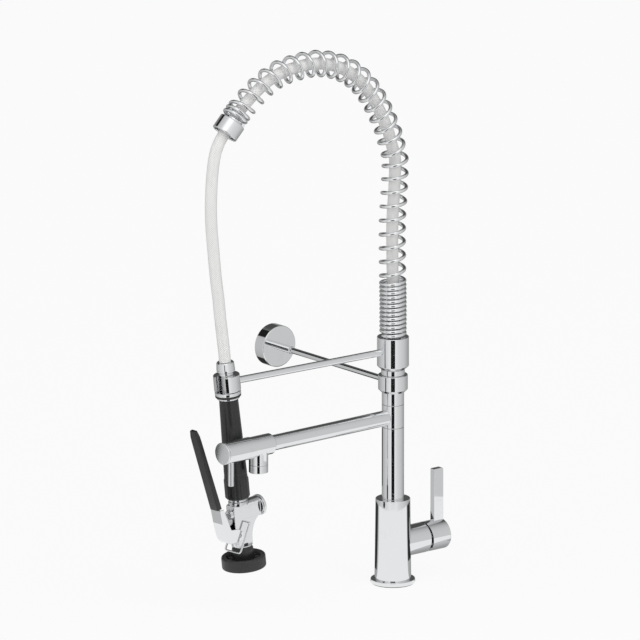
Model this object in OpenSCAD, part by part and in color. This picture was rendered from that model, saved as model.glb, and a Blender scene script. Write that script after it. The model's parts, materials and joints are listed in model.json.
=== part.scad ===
// Pre-rinse faucet for a sink deck: one-lever mixer, pot filler spout and sprung hose with a spray valve.
// The origin is the centre of the base seat on the deck. +Z is up, the wall is towards +Y,
// the mixer handle points to +X and the pot filler spout to -X. Sizes are millimetres.

/* [Base and mixer] */
// Diameter of the base flange on the deck
flange_d = 60; // [54:1:80]
// Height of the base flange
flange_h = 5.5; // [2:0.1:7]
// Thickness of the rubber gasket under the base
gasket_h = 1.2; // [0.8:0.1:3]
// Diameter of the faucet body
body_d = 49.5; // [47:0.5:56]
// Height of the faucet body above the deck
body_h = 118; // [105:1:160]
// Height of the mixer axis above the deck
mixer_z = 54; // [46:1:60]
// Diameter of the mixer boss and of its cap
mixer_d = 41; // [38:0.5:44]
// Reach of the mixer boss from the column axis
boss_reach = 51.5; // [49:0.5:54]
// Gap between boss and cap at the top
cap_gap_top = 2; // [1:0.1:3]
// Gap between boss and cap at the bottom, which gives room to lift the handle
cap_gap_low = 4.8; // [4.8:0.1:6]
// Reach of the mixer cap from the column axis
cap_reach = 85.5; // [82:0.5:96]
// Width of the mixer blade
blade_w = 16; // [12:0.5:18]
// Thickness of the mixer blade
blade_t = 8; // [5:0.2:9]
// Height of the top of the mixer blade above the deck
blade_top = 146; // [110:1:175]

/* [Column] */
// Diameter of the column, of the spout ring and of the upper column
column_d = 30; // [28:0.5:34]
// Length of the column between body and spout ring
column_len = 99; // [80:1:120]
// Height of the spout ring
tee_h = 32; // [30:0.5:40]
// Length of the upper column, which the wall bracket clamps
upper_len = 41; // [38:0.5:50]
// Diameter of the shoulder that carries the spray arm
shoulder_d = 32; // [29:0.5:38]
// Height of that shoulder
shoulder_h = 7.2; // [5:0.2:10]

/* [Wall bracket] */
// Diameter of the bracket collar
bracket_d = 40; // [38:0.5:46]
// Height of the bracket collar
bracket_h = 23.9; // [20:0.5:24]
// Diameter of the bracket rod
bracket_rod_d = 8; // [6:0.5:10]
// Distance from the column axis to the wall
wall_y = 255; // [150:1:320]
// Diameter of the wall flange
wall_flange_d = 57; // [52:1:70]
// Depth of the wall flange
wall_flange_t = 18; // [16:0.5:24]

/* [Pot filler] */
// Diameter of the spout tube
spout_d = 21; // [18:0.5:24]
// Distance from the column axis to the nozzle axis
nozzle_reach = 235; // [190:1:290]
// Diameter of the valve housing
housing_d = 28.5; // [26:0.5:32]
// Diameter of the nozzle and of its aerator
nozzle_d = 26; // [24.5:0.5:27]
// Diameter of the shut-off knob
knob_d = 30; // [28:0.5:34]
// Length of the shut-off knob without its end cap
knob_len = 45; // [38:0.5:50]
// Diameter of the knob's pin lever
pin_d = 8.4; // [6:0.2:10]
// Length of the pin lever below the spout axis
pin_drop = 47; // [30:1:50]

/* [Spray arm] */
// Diameter of the rotating arm collar
arm_collar_d = 43; // [41:0.5:50]
// Height of the rotating arm collar
arm_collar_h = 45; // [42:0.5:50]
// Angle of the spray arm behind the spout, in degrees
spray_turn = 7; // [7:0.5:20]
// Diameter of the arm rod
arm_rod_d = 9.4; // [8:0.2:11]
// Diameter of the gun holder
holder_d = 36; // [34:0.5:42]
// Height of the gun holder
holder_h = 22; // [18:0.5:24]
// Outer diameter of the balance spring
coil_d = 37; // [33:0.5:39]
// Diameter of the spring wire
wire_d = 5; // [3.5:0.1:5.2]
// Number of close turns at the bottom of the spring
close_turns = 12.6; // [8:0.1:14]
// Number of open turns along the arch
open_turns = 27; // [20:1:29]
// Outer diameter of the ferrule at the end of the spring
ferrule_d = 37; // [36:0.5:42]
// Length of the ferrule
ferrule_len = 21; // [18:0.5:24]
// Outer diameter of the braided hose
hose_d = 16; // [12:0.5:17]

/* [Spray valve] */
// Tilt of the hanging spray valve from upright, in degrees
gun_tilt = 6; // [0:1:10]
// Turn of the spray valve in its holder, in degrees
gun_turn = 8; // [0:1:12]
// Distance from the column axis to the centre of the spray face
gun_reach = 237.5; // [236:0.5:241]
// Diameter of the rubber bumper round the spray face
bumper_d = 59.5; // [54:0.5:66]
// Height of the rubber bumper
bumper_h = 17; // [15.5:0.5:19]
// Diameter of the valve body's neck and of its barrel
barrel_d = 27; // [26:0.5:30]
// Distance between the flats on the valve body
flats_w = 16; // [15:0.5:18]
// Length of the valve body along the gun
valve_h = 68; // [66:0.5:70]
// Reach of the bonnet behind the gun axis
bonnet_reach = 37; // [35.5:0.5:42]
// Diameter of the coupling nut
nut_d = 34; // [31:0.5:38]
// Length of the coupling nut
nut_h = 33; // [24:0.5:34]
// Diameter of the grip at its lower end
grip_low_d = 31; // [28:0.5:33]
// Diameter of the grip at its upper end
grip_top_d = 25.6; // [22:0.5:28]
// Length of the grip
grip_len = 107.7; // [90:0.1:108]
// Width of the trigger's black grip
trigger_w = 17; // [14:0.5:19]
// Length of the trigger's black grip
trigger_grip_len = 121; // [70:1:121]
// Travel of the valve stem that the trigger gives
stem_travel = 5; // [3:0.5:5.5]
// Diameter of the hold-open ring's wire
ring_wire_d = 2.6; // [2:0.1:3]

/* [Hidden] */
$fn = 96;

// Fits
fit = 0.05;           // radial clearance of a seated or running cylinder
air = 0.3;            // space between pieces that move past each other
eps = 0.5;            // how far a cutting shape runs past the face that it cuts

// Column stack, from the deck up
body_z0 = gasket_h;
tee_z0 = body_h + column_len + air;
tee_z1 = tee_z0 + tee_h - 2 * air;
spout_z = (tee_z0 + tee_z1) / 2 - 2;
upper_z0 = tee_z1 + air;
upper_z1 = upper_z0 + upper_len;
shoulder_z1 = upper_z1 + shoulder_h;
arm_z0 = shoulder_z1 + air;
arm_z1 = arm_z0 + arm_collar_h;

// Turning joints of the column
spindle_r = 11;
spindle_bore_r = 7;
spindle_dip = 19;     // how deep the lower spindle stands in the column
spindle_rise = 13;    // how far it reaches into the upper column
shoulder_dip = 12.5;  // how deep the shoulder spindle stands in the upper column
shoulder_rise = 30;   // how far it reaches into the arm collar
seal_h = 2.4;
seal_depth = 1.4;
seal_zs = [tee_z0 + 4, tee_z1 - 6.4, arm_z0 + 3, arm_z0 + 24];
lock_z = arm_z0 + 15; // height of the groove that keeps the arm collar on its spindle
lock_groove_h = 6;
lock_groove_depth = 1.6;

// Mixer
chamber_r = 17;
chamber_x0 = 3;
cartridge_x0 = 8;
cartridge_x1 = 50.5;
cartridge_step_x = 40;
cartridge_neck_r = 13;
carrier_r = 9;
carrier_x0 = 36.5;
pivot_x = 48;
dust_r = 16.4;
spindle_w = 6;
cap_wall = 2;
cap_web_x = 64;
riser_spigot_r = 12;
riser_spigot_len = 24;
inlet_d = 8.9;        // tapping bore of the supply threads
inlet_way_d = 6;      // passage from there to the cartridge
inlet_top = mixer_z - 24;
inlet_x = 11;
inlet_y = 9;
stud_d = 6.8;         // tapping bore of the fixing stud
stud_x = 13;

// Wall bracket
bracket_z = upper_z1 - bracket_h / 2 - 0.3;
bracket_rod_z = bracket_z + 1.5;
rod_ferrule_len = 27;
wall_plate_t = 4;
wall_hole_ring_r = 17;
wall_hole_d = 5.2;

// Pot filler
housing_x0 = nozzle_reach - 22;
housing_x1 = nozzle_reach + 15;
knob_x0 = housing_x1 + air;
knob_x1 = knob_x0 + knob_len;
end_cap_t = 3;
nozzle_z1 = spout_z - 25;
nozzle_z0 = spout_z - 36;
headwork_r = 8.9;
knob_stem_r = 4;
pin_x = knob_x1 - 12.3;

// Spray arm: rod height, and the spring's seat
rod_z0 = arm_z0 + 25;
rod_fall = 5;
ferrule_tilt = 41.5;  // tilt of the ferrule from upright
coil_r = (coil_d - wire_d) / 2;

// Gun stack, measured up the gun axis from the spray face
neck_s0 = 9.5;
valve_s0 = 30;
valve_s1 = valve_s0 + valve_h;
nut_s1 = valve_s1 + nut_h;
grip_s1 = nut_s1 + grip_len;
grip_ring_h = 2.5;
seal_ring_h = 3;
flange_ring_h = 5;
seal_ring_s0 = grip_s1 + grip_ring_h;
flange_ring_s0 = seal_ring_s0 + seal_ring_h;
holder_s0 = 250;
holder_s1 = holder_s0 + holder_h;
hose_nut_s0 = holder_s1 + air;
hose_nut_s1 = hose_nut_s0 + 17.8;
hose_nut_d = 25;
handle_r = 8;
handle_bore_r = 5.5;
holder_bore_r = handle_r + 0.4;
slot_turn = 25;
slot_w = 2 * handle_r + 0.3;
valve_s = 78;         // height of the valve stem's axis
flats_h = 56;         // height of the flats on the valve body
chamber_bore_r = 6.3;
stem_r = 2.4;
stem_tip_x = 36.3;    // rounded tip of the stem, just off the trigger's web
stem_tip_r = 4;
stem_tail_x = 27;
guide_x = 20;         // front of the boss that guides the stem
pin_x_gun = 9;        // the trigger's pivot, in front of the gun axis
pin_s = 48;
pin_r = 2;
ear_in = flats_w / 2 + air;
ear_t = 1.5;
ring_x = -4;          // the hold-open ring's pivot, behind the gun axis
ring_s = 64;
ring_foot_x = 17.5;
ring_foot_s = 26;
ring_half_w = 15.4;
grip_lean = 12.5;     // lean of the trigger's grip away from the handle
grip_x = 39.3;        // its lower end, in front of the gun axis
grip_s0 = 93;

// The height of the gun's origin follows the arm: its axis meets the rod at the holder's middle
holder_mid_s = (holder_s0 + holder_s1) / 2;
holder_rho = gun_reach + holder_mid_s * sin(gun_tilt);
gun_z = rod_z0 - rod_fall - holder_mid_s * cos(gun_tilt);
rod_root = 14;        // where the rod starts, inside the arm collar
rod_socket = 12;      // where it ends, measured from the gun's axis
rod_slope = atan2(rod_fall, holder_rho - rod_root);
rod_len = (holder_rho - rod_root) / cos(rod_slope) - rod_socket;

// Route of spring and hose: distance along the arm and height above the arm collar
ARCH = [[0, 0], [0, 50], [1, 107], [1, 160], [-2, 205], [-3, 245], [3, 268], [10, 290], [28, 327],
    [49, 357], [73, 377], [98, 389], [128, 395], [160, 393], [184, 388], [208, 376], [232, 358],
    [253.5, 337.5], [269, 318]];
DROP = [[269, 318], [274, 311.7], [278.6, 303.7], [282.5, 294.3], [285, 284], [287, 271], [288.5, 256],
    [289.5, 238], [290, 217], [289, 190], [287, 168], [285, 147], [282, 119], [278, 90], [275, 62]];

// ---------- shapes that repeat ----------

// Points of a quarter round, from angle a0 to a0 + 90
function quarter(x, y, r, a0) = [for (a = [a0:30:a0 + 90]) [x + r * cos(a), y + r * sin(a)]];

// Solid cylinder with rounded rims, standing on its lower face
module bar(d, h, edge = 0.5) {
    rotate_extrude() polygon(concat([[0, 0]], quarter(d / 2 - edge, edge, edge, -90),
        quarter(d / 2 - edge, h - edge, edge, 0), [[0, h]]));
}

// Ring or sleeve with rounded outer rims
module sleeve(d, bore, h, edge = 0.5) {
    rotate_extrude() polygon(concat([[bore / 2, 0]], quarter(d / 2 - edge, edge, edge, -90),
        quarter(d / 2 - edge, h - edge, edge, 0), [[bore / 2, h]]));
}

module along_x(x = 0, z = 0) { translate([x, 0, z]) rotate([0, 90, 0]) children(); }
module along_minus_x(x = 0, z = 0) { translate([-x, 0, z]) rotate([0, -90, 0]) children(); }
module along_y(y = 0, z = 0) { translate([0, y, z]) rotate([-90, 0, 0]) children(); }
module spray_frame() { rotate([0, 0, -spray_turn]) children(); }
module holder_frame() {
    spray_frame() translate([-gun_reach, 0, gun_z]) rotate([0, -gun_tilt, 0]) children();
}
module gun_frame() { holder_frame() rotate([0, 0, gun_turn]) children(); }
module up(s) { translate([0, 0, s]) children(); }

// ---------- swept tubes ----------

function bend(p0, p1, p2, p3, t) = 0.5 * (2 * p1 + (p2 - p0) * t
    + (2 * p0 - 5 * p1 + 4 * p2 - p3) * t * t + (3 * p1 - p0 - 3 * p2 + p3) * t * t * t);
function smooth(p, n) = let (m = len(p) - 1) concat(
    [for (i = [0:m - 1]) for (k = [0:n - 1])
        bend(i == 0 ? 2 * p[0] - p[1] : p[i - 1], p[i], p[i + 1],
            i == m - 1 ? 2 * p[m] - p[m - 1] : p[i + 2], k / n)],
    [p[m]]);
function lengths(p) = [for (i = 0, s = 0; i < len(p); i = i + 1,
    s = i < len(p) ? s + norm(p[i] - p[i - 1]) : s) s];
// Distances along a route paired with one coordinate, for lookup()
function table(dist, p, k) = [for (i = [0:len(p) - 1]) [dist[i], p[i][k]]];
function unit(v) = v / norm(v);
// Plane route to a point in the arm's frame
function arm_point(q) = [-q[0], 0, arm_z1 + q[1]];

// Closed tube through rings of points, in triangles
module skin(rings) {
    n = len(rings[0]);
    m = len(rings);
    polyhedron(points = [for (r = rings) each r], faces = concat(
        [for (k = [1:n - 2]) [0, k, k + 1]],
        [for (i = [0:m - 2]) for (k = [0:n - 1]) let (a = i * n + k, b = i * n + (k + 1) % n)
            each [[a, a + n, b], [b, a + n, b + n]]],
        [for (k = [1:n - 2]) [(m - 1) * n, (m - 1) * n + k + 1, (m - 1) * n + k]]));
}

// Rings of a hose along a plane route, at the given distances
function hose_rings(route, marks, r, sides) =
    let (dist = lengths(route), xs = table(dist, route, 0), zs = table(dist, route, 1), top = max(dist))
    [for (s = marks) let (a = max(s - 1, 0), b = min(s + 1, top),
        c = [lookup(s, xs), lookup(s, zs)],
        t = unit([lookup(b, xs) - lookup(a, xs), lookup(b, zs) - lookup(a, zs)]),
        n = [-t[1], 0, -t[0]])
        [for (k = [0:sides - 1]) let (w = 360 * k / sides)
            arm_point(c) + r * (cos(w) * n + sin(w) * [0, 1, 0])]];

arch_route = smooth(ARCH, 8);
arch_dist = lengths(arch_route);
arch_len = max(arch_dist);
arch_x = table(arch_dist, arch_route, 0);
arch_z = table(arch_dist, arch_route, 1);
// The drop ends on the gun's axis, at the top of its hose nut
nut_point = [gun_reach + (hose_nut_s1 + air) * sin(gun_tilt),
    gun_z + (hose_nut_s1 + air) * cos(gun_tilt) - arm_z1];
nut_lead = nut_point + 18 * [sin(gun_tilt), cos(gun_tilt)];
drop_route = smooth(concat(DROP, [nut_lead, nut_point]), 6);
drop_len = max(lengths(drop_route));

// Spring: close turns, open turns, then close turns that end on the ferrule
spring_s0 = wire_d / 2 + air;
spring_s1 = arch_len - ferrule_len - wire_d / 2 - 2 * air;
close_pitch = 6;
end_turns = 2.5;
close_len = close_turns * close_pitch;
end_len = end_turns * close_pitch;
spring_turns = close_turns + open_turns + end_turns;
turn_marks = [[0, spring_s0], [close_turns, spring_s0 + close_len],
    [close_turns + open_turns, spring_s1 - end_len], [spring_turns, spring_s1]];
rings_per_turn = 8;
coil_steps = ceil(spring_turns * rings_per_turn);
function coil_at(turn) = let (s = lookup(turn, turn_marks), a = max(s - 1, 0), b = min(s + 1, arch_len),
    t = unit([lookup(b, arch_x) - lookup(a, arch_x), lookup(b, arch_z) - lookup(a, arch_z)]),
    n = [-t[1], 0, -t[0]])
    arm_point([lookup(s, arch_x), lookup(s, arch_z)])
        + coil_r * (cos(360 * turn) * n - sin(360 * turn) * [0, 1, 0]);
coil_points = [for (i = [0:coil_steps]) coil_at(spring_turns * i / coil_steps)];
// Both ends of the wire run on straight for one wire diameter
wire_points = concat(
    [coil_points[0] - wire_d * unit([for (k = [0:1]) coil_points[1][k] - coil_points[0][k], 0])],
    coil_points,
    [coil_points[coil_steps] + wire_d * unit(coil_points[coil_steps] - coil_points[coil_steps - 1])]);
coil_gap = min([for (i = [0:coil_steps]) for (j = [i + 5:min(i + 11, coil_steps)])
    norm(coil_points[i] - coil_points[j])]) - wire_d;
echo(least_gap_between_spring_turns = coil_gap);

function wire_ring(i, r, sides) = let (m = len(wire_points) - 1,
    t = unit(wire_points[min(i + 1, m)] - wire_points[max(i - 1, 0)]),
    side = unit(cross(t, [0, 1, 0.3])), rise = cross(side, t))
    [for (k = [0:sides - 1]) let (w = 360 * k / sides)
        wire_points[i] + r * (cos(w) * side + sin(w) * rise)];

// ---------- base, mixer ----------

module deck_gasket() {
    color("#202022") difference() {
        bar(flange_d - 3, gasket_h, 0.3);
        base_holes(3);
    }
}

// Two supply inlets and the stud hole in the underside, widened by play
module base_holes(play) {
    for (side = [-1, 1]) translate([inlet_x, inlet_y * side, -eps]) {
        cylinder(d = inlet_d + play, h = inlet_top + eps);
        cylinder(d = inlet_way_d, h = mixer_z - 8);
    }
    translate([-stud_x, 0, -eps]) cylinder(d = stud_d + play, h = 26 + eps);
}

module deck_flange() {
    color("silver") up(gasket_h) sleeve(flange_d, body_d + 2 * fit, flange_h, 0.9);
}

module faucet_body() {
    color("silver") difference() {
        union() {
            up(body_z0) bar(body_d, body_h - body_z0, 0.8);
            along_x(0, mixer_z) bar(mixer_d, boss_reach, 0.5);
        }
        along_x(chamber_x0, mixer_z) cylinder(r = chamber_r, h = boss_reach);
        up(body_h - riser_spigot_len) cylinder(r = riser_spigot_r + fit, h = riser_spigot_len + eps);
        up(mixer_z) cylinder(r = 6, h = body_h - mixer_z);
        base_holes(0);
    }
}

module mixer_cartridge() {
    color("#d8d8d2") along_x(0, mixer_z) difference() {
        union() {
            up(cartridge_x0) cylinder(r = chamber_r - fit, h = cartridge_step_x - cartridge_x0);
            up(cartridge_x0) cylinder(r = cartridge_neck_r, h = cartridge_x1 - cartridge_x0);
        }
        up(carrier_x0 - air) cylinder(r = carrier_r + fit, h = cartridge_x1);
    }
}

module cartridge_nut() {
    color("goldenrod") along_x(cartridge_step_x, mixer_z)
        sleeve(2 * (chamber_r - fit), 2 * (cartridge_neck_r + fit), 7, 0.4);
}

module dust_ring() {
    color("#18181a") along_x(cartridge_step_x + 7, mixer_z)
        sleeve(2 * dust_r, 2 * (cartridge_neck_r + fit), 5.5, 0.6);
}

// Turning core of the cartridge, with the slot that lets the spindle tilt
module mixer_carrier() {
    color("#b9b9b2") difference() {
        along_x(carrier_x0, mixer_z) cylinder(r = carrier_r, h = cartridge_x1 + 1 - carrier_x0);
        translate([carrier_x0 + 4, -spindle_w / 2 - fit, mixer_z - 5.5])
            cube([20, spindle_w + 2 * fit, 11]);
        along_y(-10, 0) translate([pivot_x, -mixer_z, 0]) cylinder(r = 1.5 + fit, h = 20);
    }
}

module mixer_spindle() {
    color("gray") {
        translate([carrier_x0 + 6, -spindle_w / 2, mixer_z - 3])
            cube([cap_web_x - 1 - carrier_x0, spindle_w, 6]);
        translate([pivot_x, 0, mixer_z]) rotate([90, 0, 0]) cylinder(r = 1.5, h = 15, center = true);
    }
}

// Cap whose rim is cut on a slant, so that the handle can tilt outwards
module mixer_cap() {
    rim_top = boss_reach + cap_gap_top;
    rim_low = boss_reach + cap_gap_low;
    half = mixer_d / 2 + 1;
    color("silver") difference() {
        along_x(boss_reach, mixer_z) bar(mixer_d, cap_reach - boss_reach, 0.8);
        along_x(boss_reach - 1, mixer_z)
            cylinder(r = mixer_d / 2 - cap_wall, h = cap_web_x - boss_reach + 1);
        translate([0, mixer_d, mixer_z]) rotate([90, 0, 0]) linear_extrude(2 * mixer_d)
            polygon([[boss_reach - 2, half], [rim_top, half], [rim_low, -half], [boss_reach - 2, -half]]);
        translate([cap_web_x - 1, -spindle_w / 2, mixer_z - 3]) cube([6, spindle_w, 6]);
        translate([cap_reach - blade_w - 0.2, -blade_t / 2, mixer_z + mixer_d / 2 - 4.2])
            cube([blade_w + 1, blade_t, 10]);
    }
}

module mixer_blade() {
    corner = 2.5;
    z0 = mixer_z + mixer_d / 2 - 4.2;
    x0 = cap_reach - blade_w - 0.2;
    color("silver") translate([0, blade_t / 2, 0]) rotate([90, 0, 0]) linear_extrude(blade_t)
        polygon(concat([[x0, z0], [x0 + blade_w, z0]],
            quarter(x0 + blade_w - corner, blade_top - corner, corner, 0),
            quarter(x0 + 1, blade_top - 1, 1, 90)));
}

// ---------- column ----------

module riser_column() {
    top = tee_z0 - air;
    color("silver") difference() {
        union() {
            up(body_h) bar(column_d, top - body_h, 0.3);
            up(body_h - riser_spigot_len + 1) cylinder(r = riser_spigot_r, h = riser_spigot_len);
        }
        up(body_h - riser_spigot_len) cylinder(r = 8, h = top);
        up(top - spindle_dip) cylinder(r = spindle_r + fit, h = spindle_dip + eps);
    }
}

module seal_groove(z, h, depth) {
    up(z) difference() {
        cylinder(r = spindle_r + 1, h = h);
        up(-eps) cylinder(r = spindle_r - depth, h = h + 2 * eps);
    }
}

module swivel_spindle() {
    z0 = tee_z0 - air - spindle_dip;
    z1 = upper_z0 + spindle_rise;
    color("goldenrod") difference() {
        up(z0) cylinder(r = spindle_r, h = z1 - z0);
        up(z0 - eps) cylinder(r = spindle_bore_r, h = z1 - z0 + 2 * eps);
        for (turn = [0, 90]) rotate([0, 0, turn]) translate([-20, 0, spout_z]) rotate([0, 90, 0])
            cylinder(r = 4, h = 40);
        for (k = [0, 1]) seal_groove(seal_zs[k] - 0.1, seal_h + 0.2, seal_depth + 0.1);
    }
}

module swivel_seals() {
    color("#202022") for (z = seal_zs) up(z)
        sleeve(2 * (spindle_r + 0.04), 2 * (spindle_r - seal_depth), seal_h, 0.3);
}

module upper_column() {
    color("silver") difference() {
        up(upper_z0) bar(column_d, upper_len, 0.3);
        up(upper_z0 - eps) cylinder(r = spindle_r + fit, h = spindle_rise + eps);
        up(upper_z0) cylinder(r = 8, h = upper_len);
        up(upper_z1 - shoulder_dip) cylinder(r = spindle_r + fit, h = shoulder_dip + eps);
    }
}

// Fixed spindle with the shoulder that the spray arm turns on
module shoulder_spindle() {
    z0 = upper_z1 - shoulder_dip;
    z1 = shoulder_z1 + shoulder_rise;
    color("silver") difference() {
        union() {
            up(z0) cylinder(r = spindle_r, h = z1 - z0);
            up(upper_z1) bar(shoulder_d, shoulder_h, 0.5);
        }
        up(z0 - eps) cylinder(r = spindle_bore_r, h = z1 - z0 + 2 * eps);
        for (k = [2, 3]) seal_groove(seal_zs[k] - 0.1, seal_h + 0.2, seal_depth + 0.1);
        seal_groove(lock_z - lock_groove_h / 2, lock_groove_h, lock_groove_depth);
    }
}

// ---------- wall bracket ----------

module bracket_collar() {
    z0 = bracket_z - bracket_h / 2;
    r = bracket_d / 2;
    in_r = column_d / 2 + fit;
    color("silver") difference() {
        up(z0) rotate_extrude() polygon(concat([[in_r, 0], [in_r + 0.8, 0], [r, 4]],
            quarter(r - 0.8, bracket_h - 0.8, 0.8, 0), [[in_r, bracket_h]]));
        along_y(column_d / 2 - 1, bracket_rod_z) cylinder(d = bracket_rod_d + 2 * fit, h = 20);
        along_x(column_d / 2 - 1, bracket_z) cylinder(d = 5, h = 20);
    }
}

module bracket_grub_screw() {
    color("#505055") difference() {
        along_x(column_d / 2 + 0.1, bracket_z) cylinder(d = 4.9, h = 4);
        along_x(column_d / 2 + 2.1, bracket_z) cylinder(d = 2.6, h = 4, $fn = 6);
    }
}

module bracket_rod() {
    y0 = column_d / 2 + 0.2;
    color("silver") along_y(y0, bracket_rod_z) bar(bracket_rod_d, wall_y - 6 - y0, 0.3);
}

module rod_ferrule() {
    color("silver") along_y(wall_y - wall_flange_t - rod_ferrule_len, bracket_rod_z)
        sleeve(bracket_rod_d + 2.4, bracket_rod_d + 2 * fit, rod_ferrule_len, 0.8);
}

module wall_flange() {
    r = wall_flange_d / 2;
    color("silver") difference() {
        along_y(wall_y - wall_flange_t, bracket_rod_z) bar(wall_flange_d, wall_flange_t, 1.6);
        along_y(wall_y - wall_flange_t + 3, bracket_rod_z) cylinder(r = r - 2, h = wall_flange_t);
        along_y(wall_y - wall_flange_t - eps, bracket_rod_z)
            cylinder(d = bracket_rod_d + 2 * fit, h = 10);
    }
}

// Plate screwed to the wall inside the flange, with the boss that holds the rod
module wall_plate() {
    boss_len = wall_flange_t - 4;
    color("gray") difference() {
        union() {
            along_y(wall_y - wall_plate_t, bracket_rod_z)
                cylinder(r = wall_flange_d / 2 - 2 - fit, h = wall_plate_t);
            along_y(wall_y - boss_len, bracket_rod_z) cylinder(r = 8, h = boss_len);
        }
        along_y(wall_y - boss_len - eps, bracket_rod_z)
            cylinder(d = bracket_rod_d + 2 * fit, h = boss_len - 5);
        for (k = [0:2]) along_y(wall_y - 10, bracket_rod_z) rotate([0, 0, 120 * k + 90])
            translate([wall_hole_ring_r, 0, 0]) cylinder(d = wall_hole_d, h = 20);
    }
}

// ---------- pot filler ----------

module spout_ring() {
    color("silver") difference() {
        up(tee_z0) bar(column_d, tee_z1 - tee_z0, 0.4);
        up(tee_z0 - eps) cylinder(r = spindle_r + 2 * fit, h = tee_z1 - tee_z0 + 2 * eps);
        along_minus_x(12.7, spout_z) cylinder(d = spout_d + 2 * fit, h = 10);
        along_minus_x(0, spout_z) cylinder(r = 6, h = 20);
    }
}

module spout_tube() {
    x0 = 12.9;
    color("silver") along_minus_x(x0, spout_z) difference() {
        cylinder(d = spout_d, h = housing_x0 + 8 - x0);
        up(-eps) cylinder(d = spout_d - 3, h = 2 * nozzle_reach);
    }
}

module spout_housing() {
    r = housing_d / 2;
    color("silver") difference() {
        union() {
            along_minus_x(housing_x0, spout_z) rotate_extrude() polygon([[0, 0], [spout_d / 2 + 1, 0],
                [r, 3], [r, housing_x1 - housing_x0], [0, housing_x1 - housing_x0]]);
            translate([-nozzle_reach, 0, nozzle_z1]) cylinder(d = nozzle_d, h = spout_z - nozzle_z1);
        }
        along_minus_x(housing_x0 - eps, spout_z) cylinder(d = spout_d + 2 * fit, h = 9);
        along_minus_x(housing_x0, spout_z) cylinder(r = 5, h = 20);
        along_minus_x(housing_x0 + 13, spout_z) cylinder(r = headwork_r + fit, h = 40);
        translate([-nozzle_reach, 0, nozzle_z1 - eps]) cylinder(d = nozzle_d - 5, h = 16);
    }
}

// Shut-off headwork: a ported sleeve round the stem
module spout_headwork() {
    x0 = housing_x0 + 15;
    color("goldenrod") along_minus_x(x0, spout_z) difference() {
        cylinder(r = headwork_r, h = housing_x1 - x0 + 3);
        up(-eps) cylinder(r = knob_stem_r + fit, h = 60);
        up(7) translate([-15, 0, 0]) rotate([0, 90, 0]) cylinder(r = 3, h = 15);
    }
}

module spout_aerator() {
    r = nozzle_d / 2;
    color("silver") translate([-nozzle_reach, 0, nozzle_z0]) difference() {
        union() {
            bar(nozzle_d, nozzle_z1 - nozzle_z0 - 0.2, 1);
            up(4) cylinder(r = r - 2.5 - fit, h = nozzle_z1 - nozzle_z0);
        }
        up(-eps) cylinder(r = r - 4, h = 2 + eps);
        for (k = [0:5]) rotate([0, 0, 60 * k]) translate([5.5, 0, 0])
            cylinder(r = 1.3, h = 40, $fn = 24);
        cylinder(r = 1.3, h = 40, $fn = 24);
        up(6) cylinder(r = r - 5, h = 40);
    }
}

module knob_stem() {
    x0 = housing_x0 + 17;
    color("goldenrod") along_minus_x(x0, spout_z) cylinder(r = knob_stem_r, h = knob_x0 + 14 - x0);
}

module spout_knob() {
    color("silver") difference() {
        along_minus_x(knob_x0, spout_z) bar(knob_d, knob_len, 0.5);
        along_minus_x(knob_x0 - eps, spout_z) cylinder(r = headwork_r + 1, h = 6);
        along_minus_x(knob_x0, spout_z) cylinder(r = knob_stem_r + fit, h = 16);
        along_minus_x(knob_x0 + 20, spout_z) cylinder(r = 10, h = 40);
        translate([-pin_x, 0, spout_z - knob_d]) cylinder(d = pin_d + 2 * fit, h = knob_d);
    }
}

module knob_end_cap() {
    color("silver") along_minus_x(knob_x1, spout_z) {
        bar(knob_d, end_cap_t, 0.6);
        up(-3) cylinder(r = 9.9, h = 4);
    }
}

module knob_pin_lever() {
    color("silver") translate([-pin_x, 0, spout_z - pin_drop]) bar(pin_d, pin_drop - 8.5, 0.8);
}

// ---------- spray arm ----------

module arm_collar() {
    r = arm_collar_d / 2;
    in_r = spindle_r + 2 * fit;
    color("silver") spray_frame() difference() {
        up(arm_z0) rotate_extrude() polygon(concat([[0, 0], [shoulder_d / 2, 0], [r - 0.5, 4.2], [r, 5]],
            quarter(r - 1, arm_collar_h - 1, 1, 0), [[0, arm_collar_h]]));
        up(arm_z0 - eps) cylinder(r = in_r, h = shoulder_rise + 2 + eps);
        up(arm_z0) cylinder(r = 8 + fit, h = arm_collar_h + eps);
        along_minus_x(rod_root, rod_z0) rotate([0, -rod_slope, 0])
            cylinder(d = arm_rod_d + 2 * fit, h = 20);
        along_x(spindle_r - 2, lock_z) cylinder(d = 5, h = 22);
    }
}

// Screw that runs in the spindle's groove and keeps the collar from lifting
module arm_grub_screw() {
    color("#505055") spray_frame() difference() {
        along_x(spindle_r - 1.2, lock_z) cylinder(d = 4.9, h = arm_collar_d / 2 - spindle_r);
        along_x(arm_collar_d / 2 - 4, lock_z) cylinder(d = 2.6, h = 4, $fn = 6);
    }
}

// Threaded stub and sleeve that hold the lower end of the hose, hidden in the close turns
module hose_tail() {
    color("gray") spray_frame() difference() {
        union() {
            up(arm_z0 + shoulder_rise + 3) cylinder(r = 8, h = arm_collar_h - shoulder_rise);
            up(arm_z1) sleeve(21, 10, 22, 0.8);
        }
        up(arm_z0) cylinder(r = 5, h = arm_collar_h + 30);
        up(arm_z1 + 6) cylinder(d = hose_d + 2 * fit, h = 30);
    }
}

module arm_rod() {
    color("silver") spray_frame() along_minus_x(rod_root, rod_z0) rotate([0, -rod_slope, 0])
        cylinder(d = arm_rod_d, h = rod_len);
}

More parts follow.
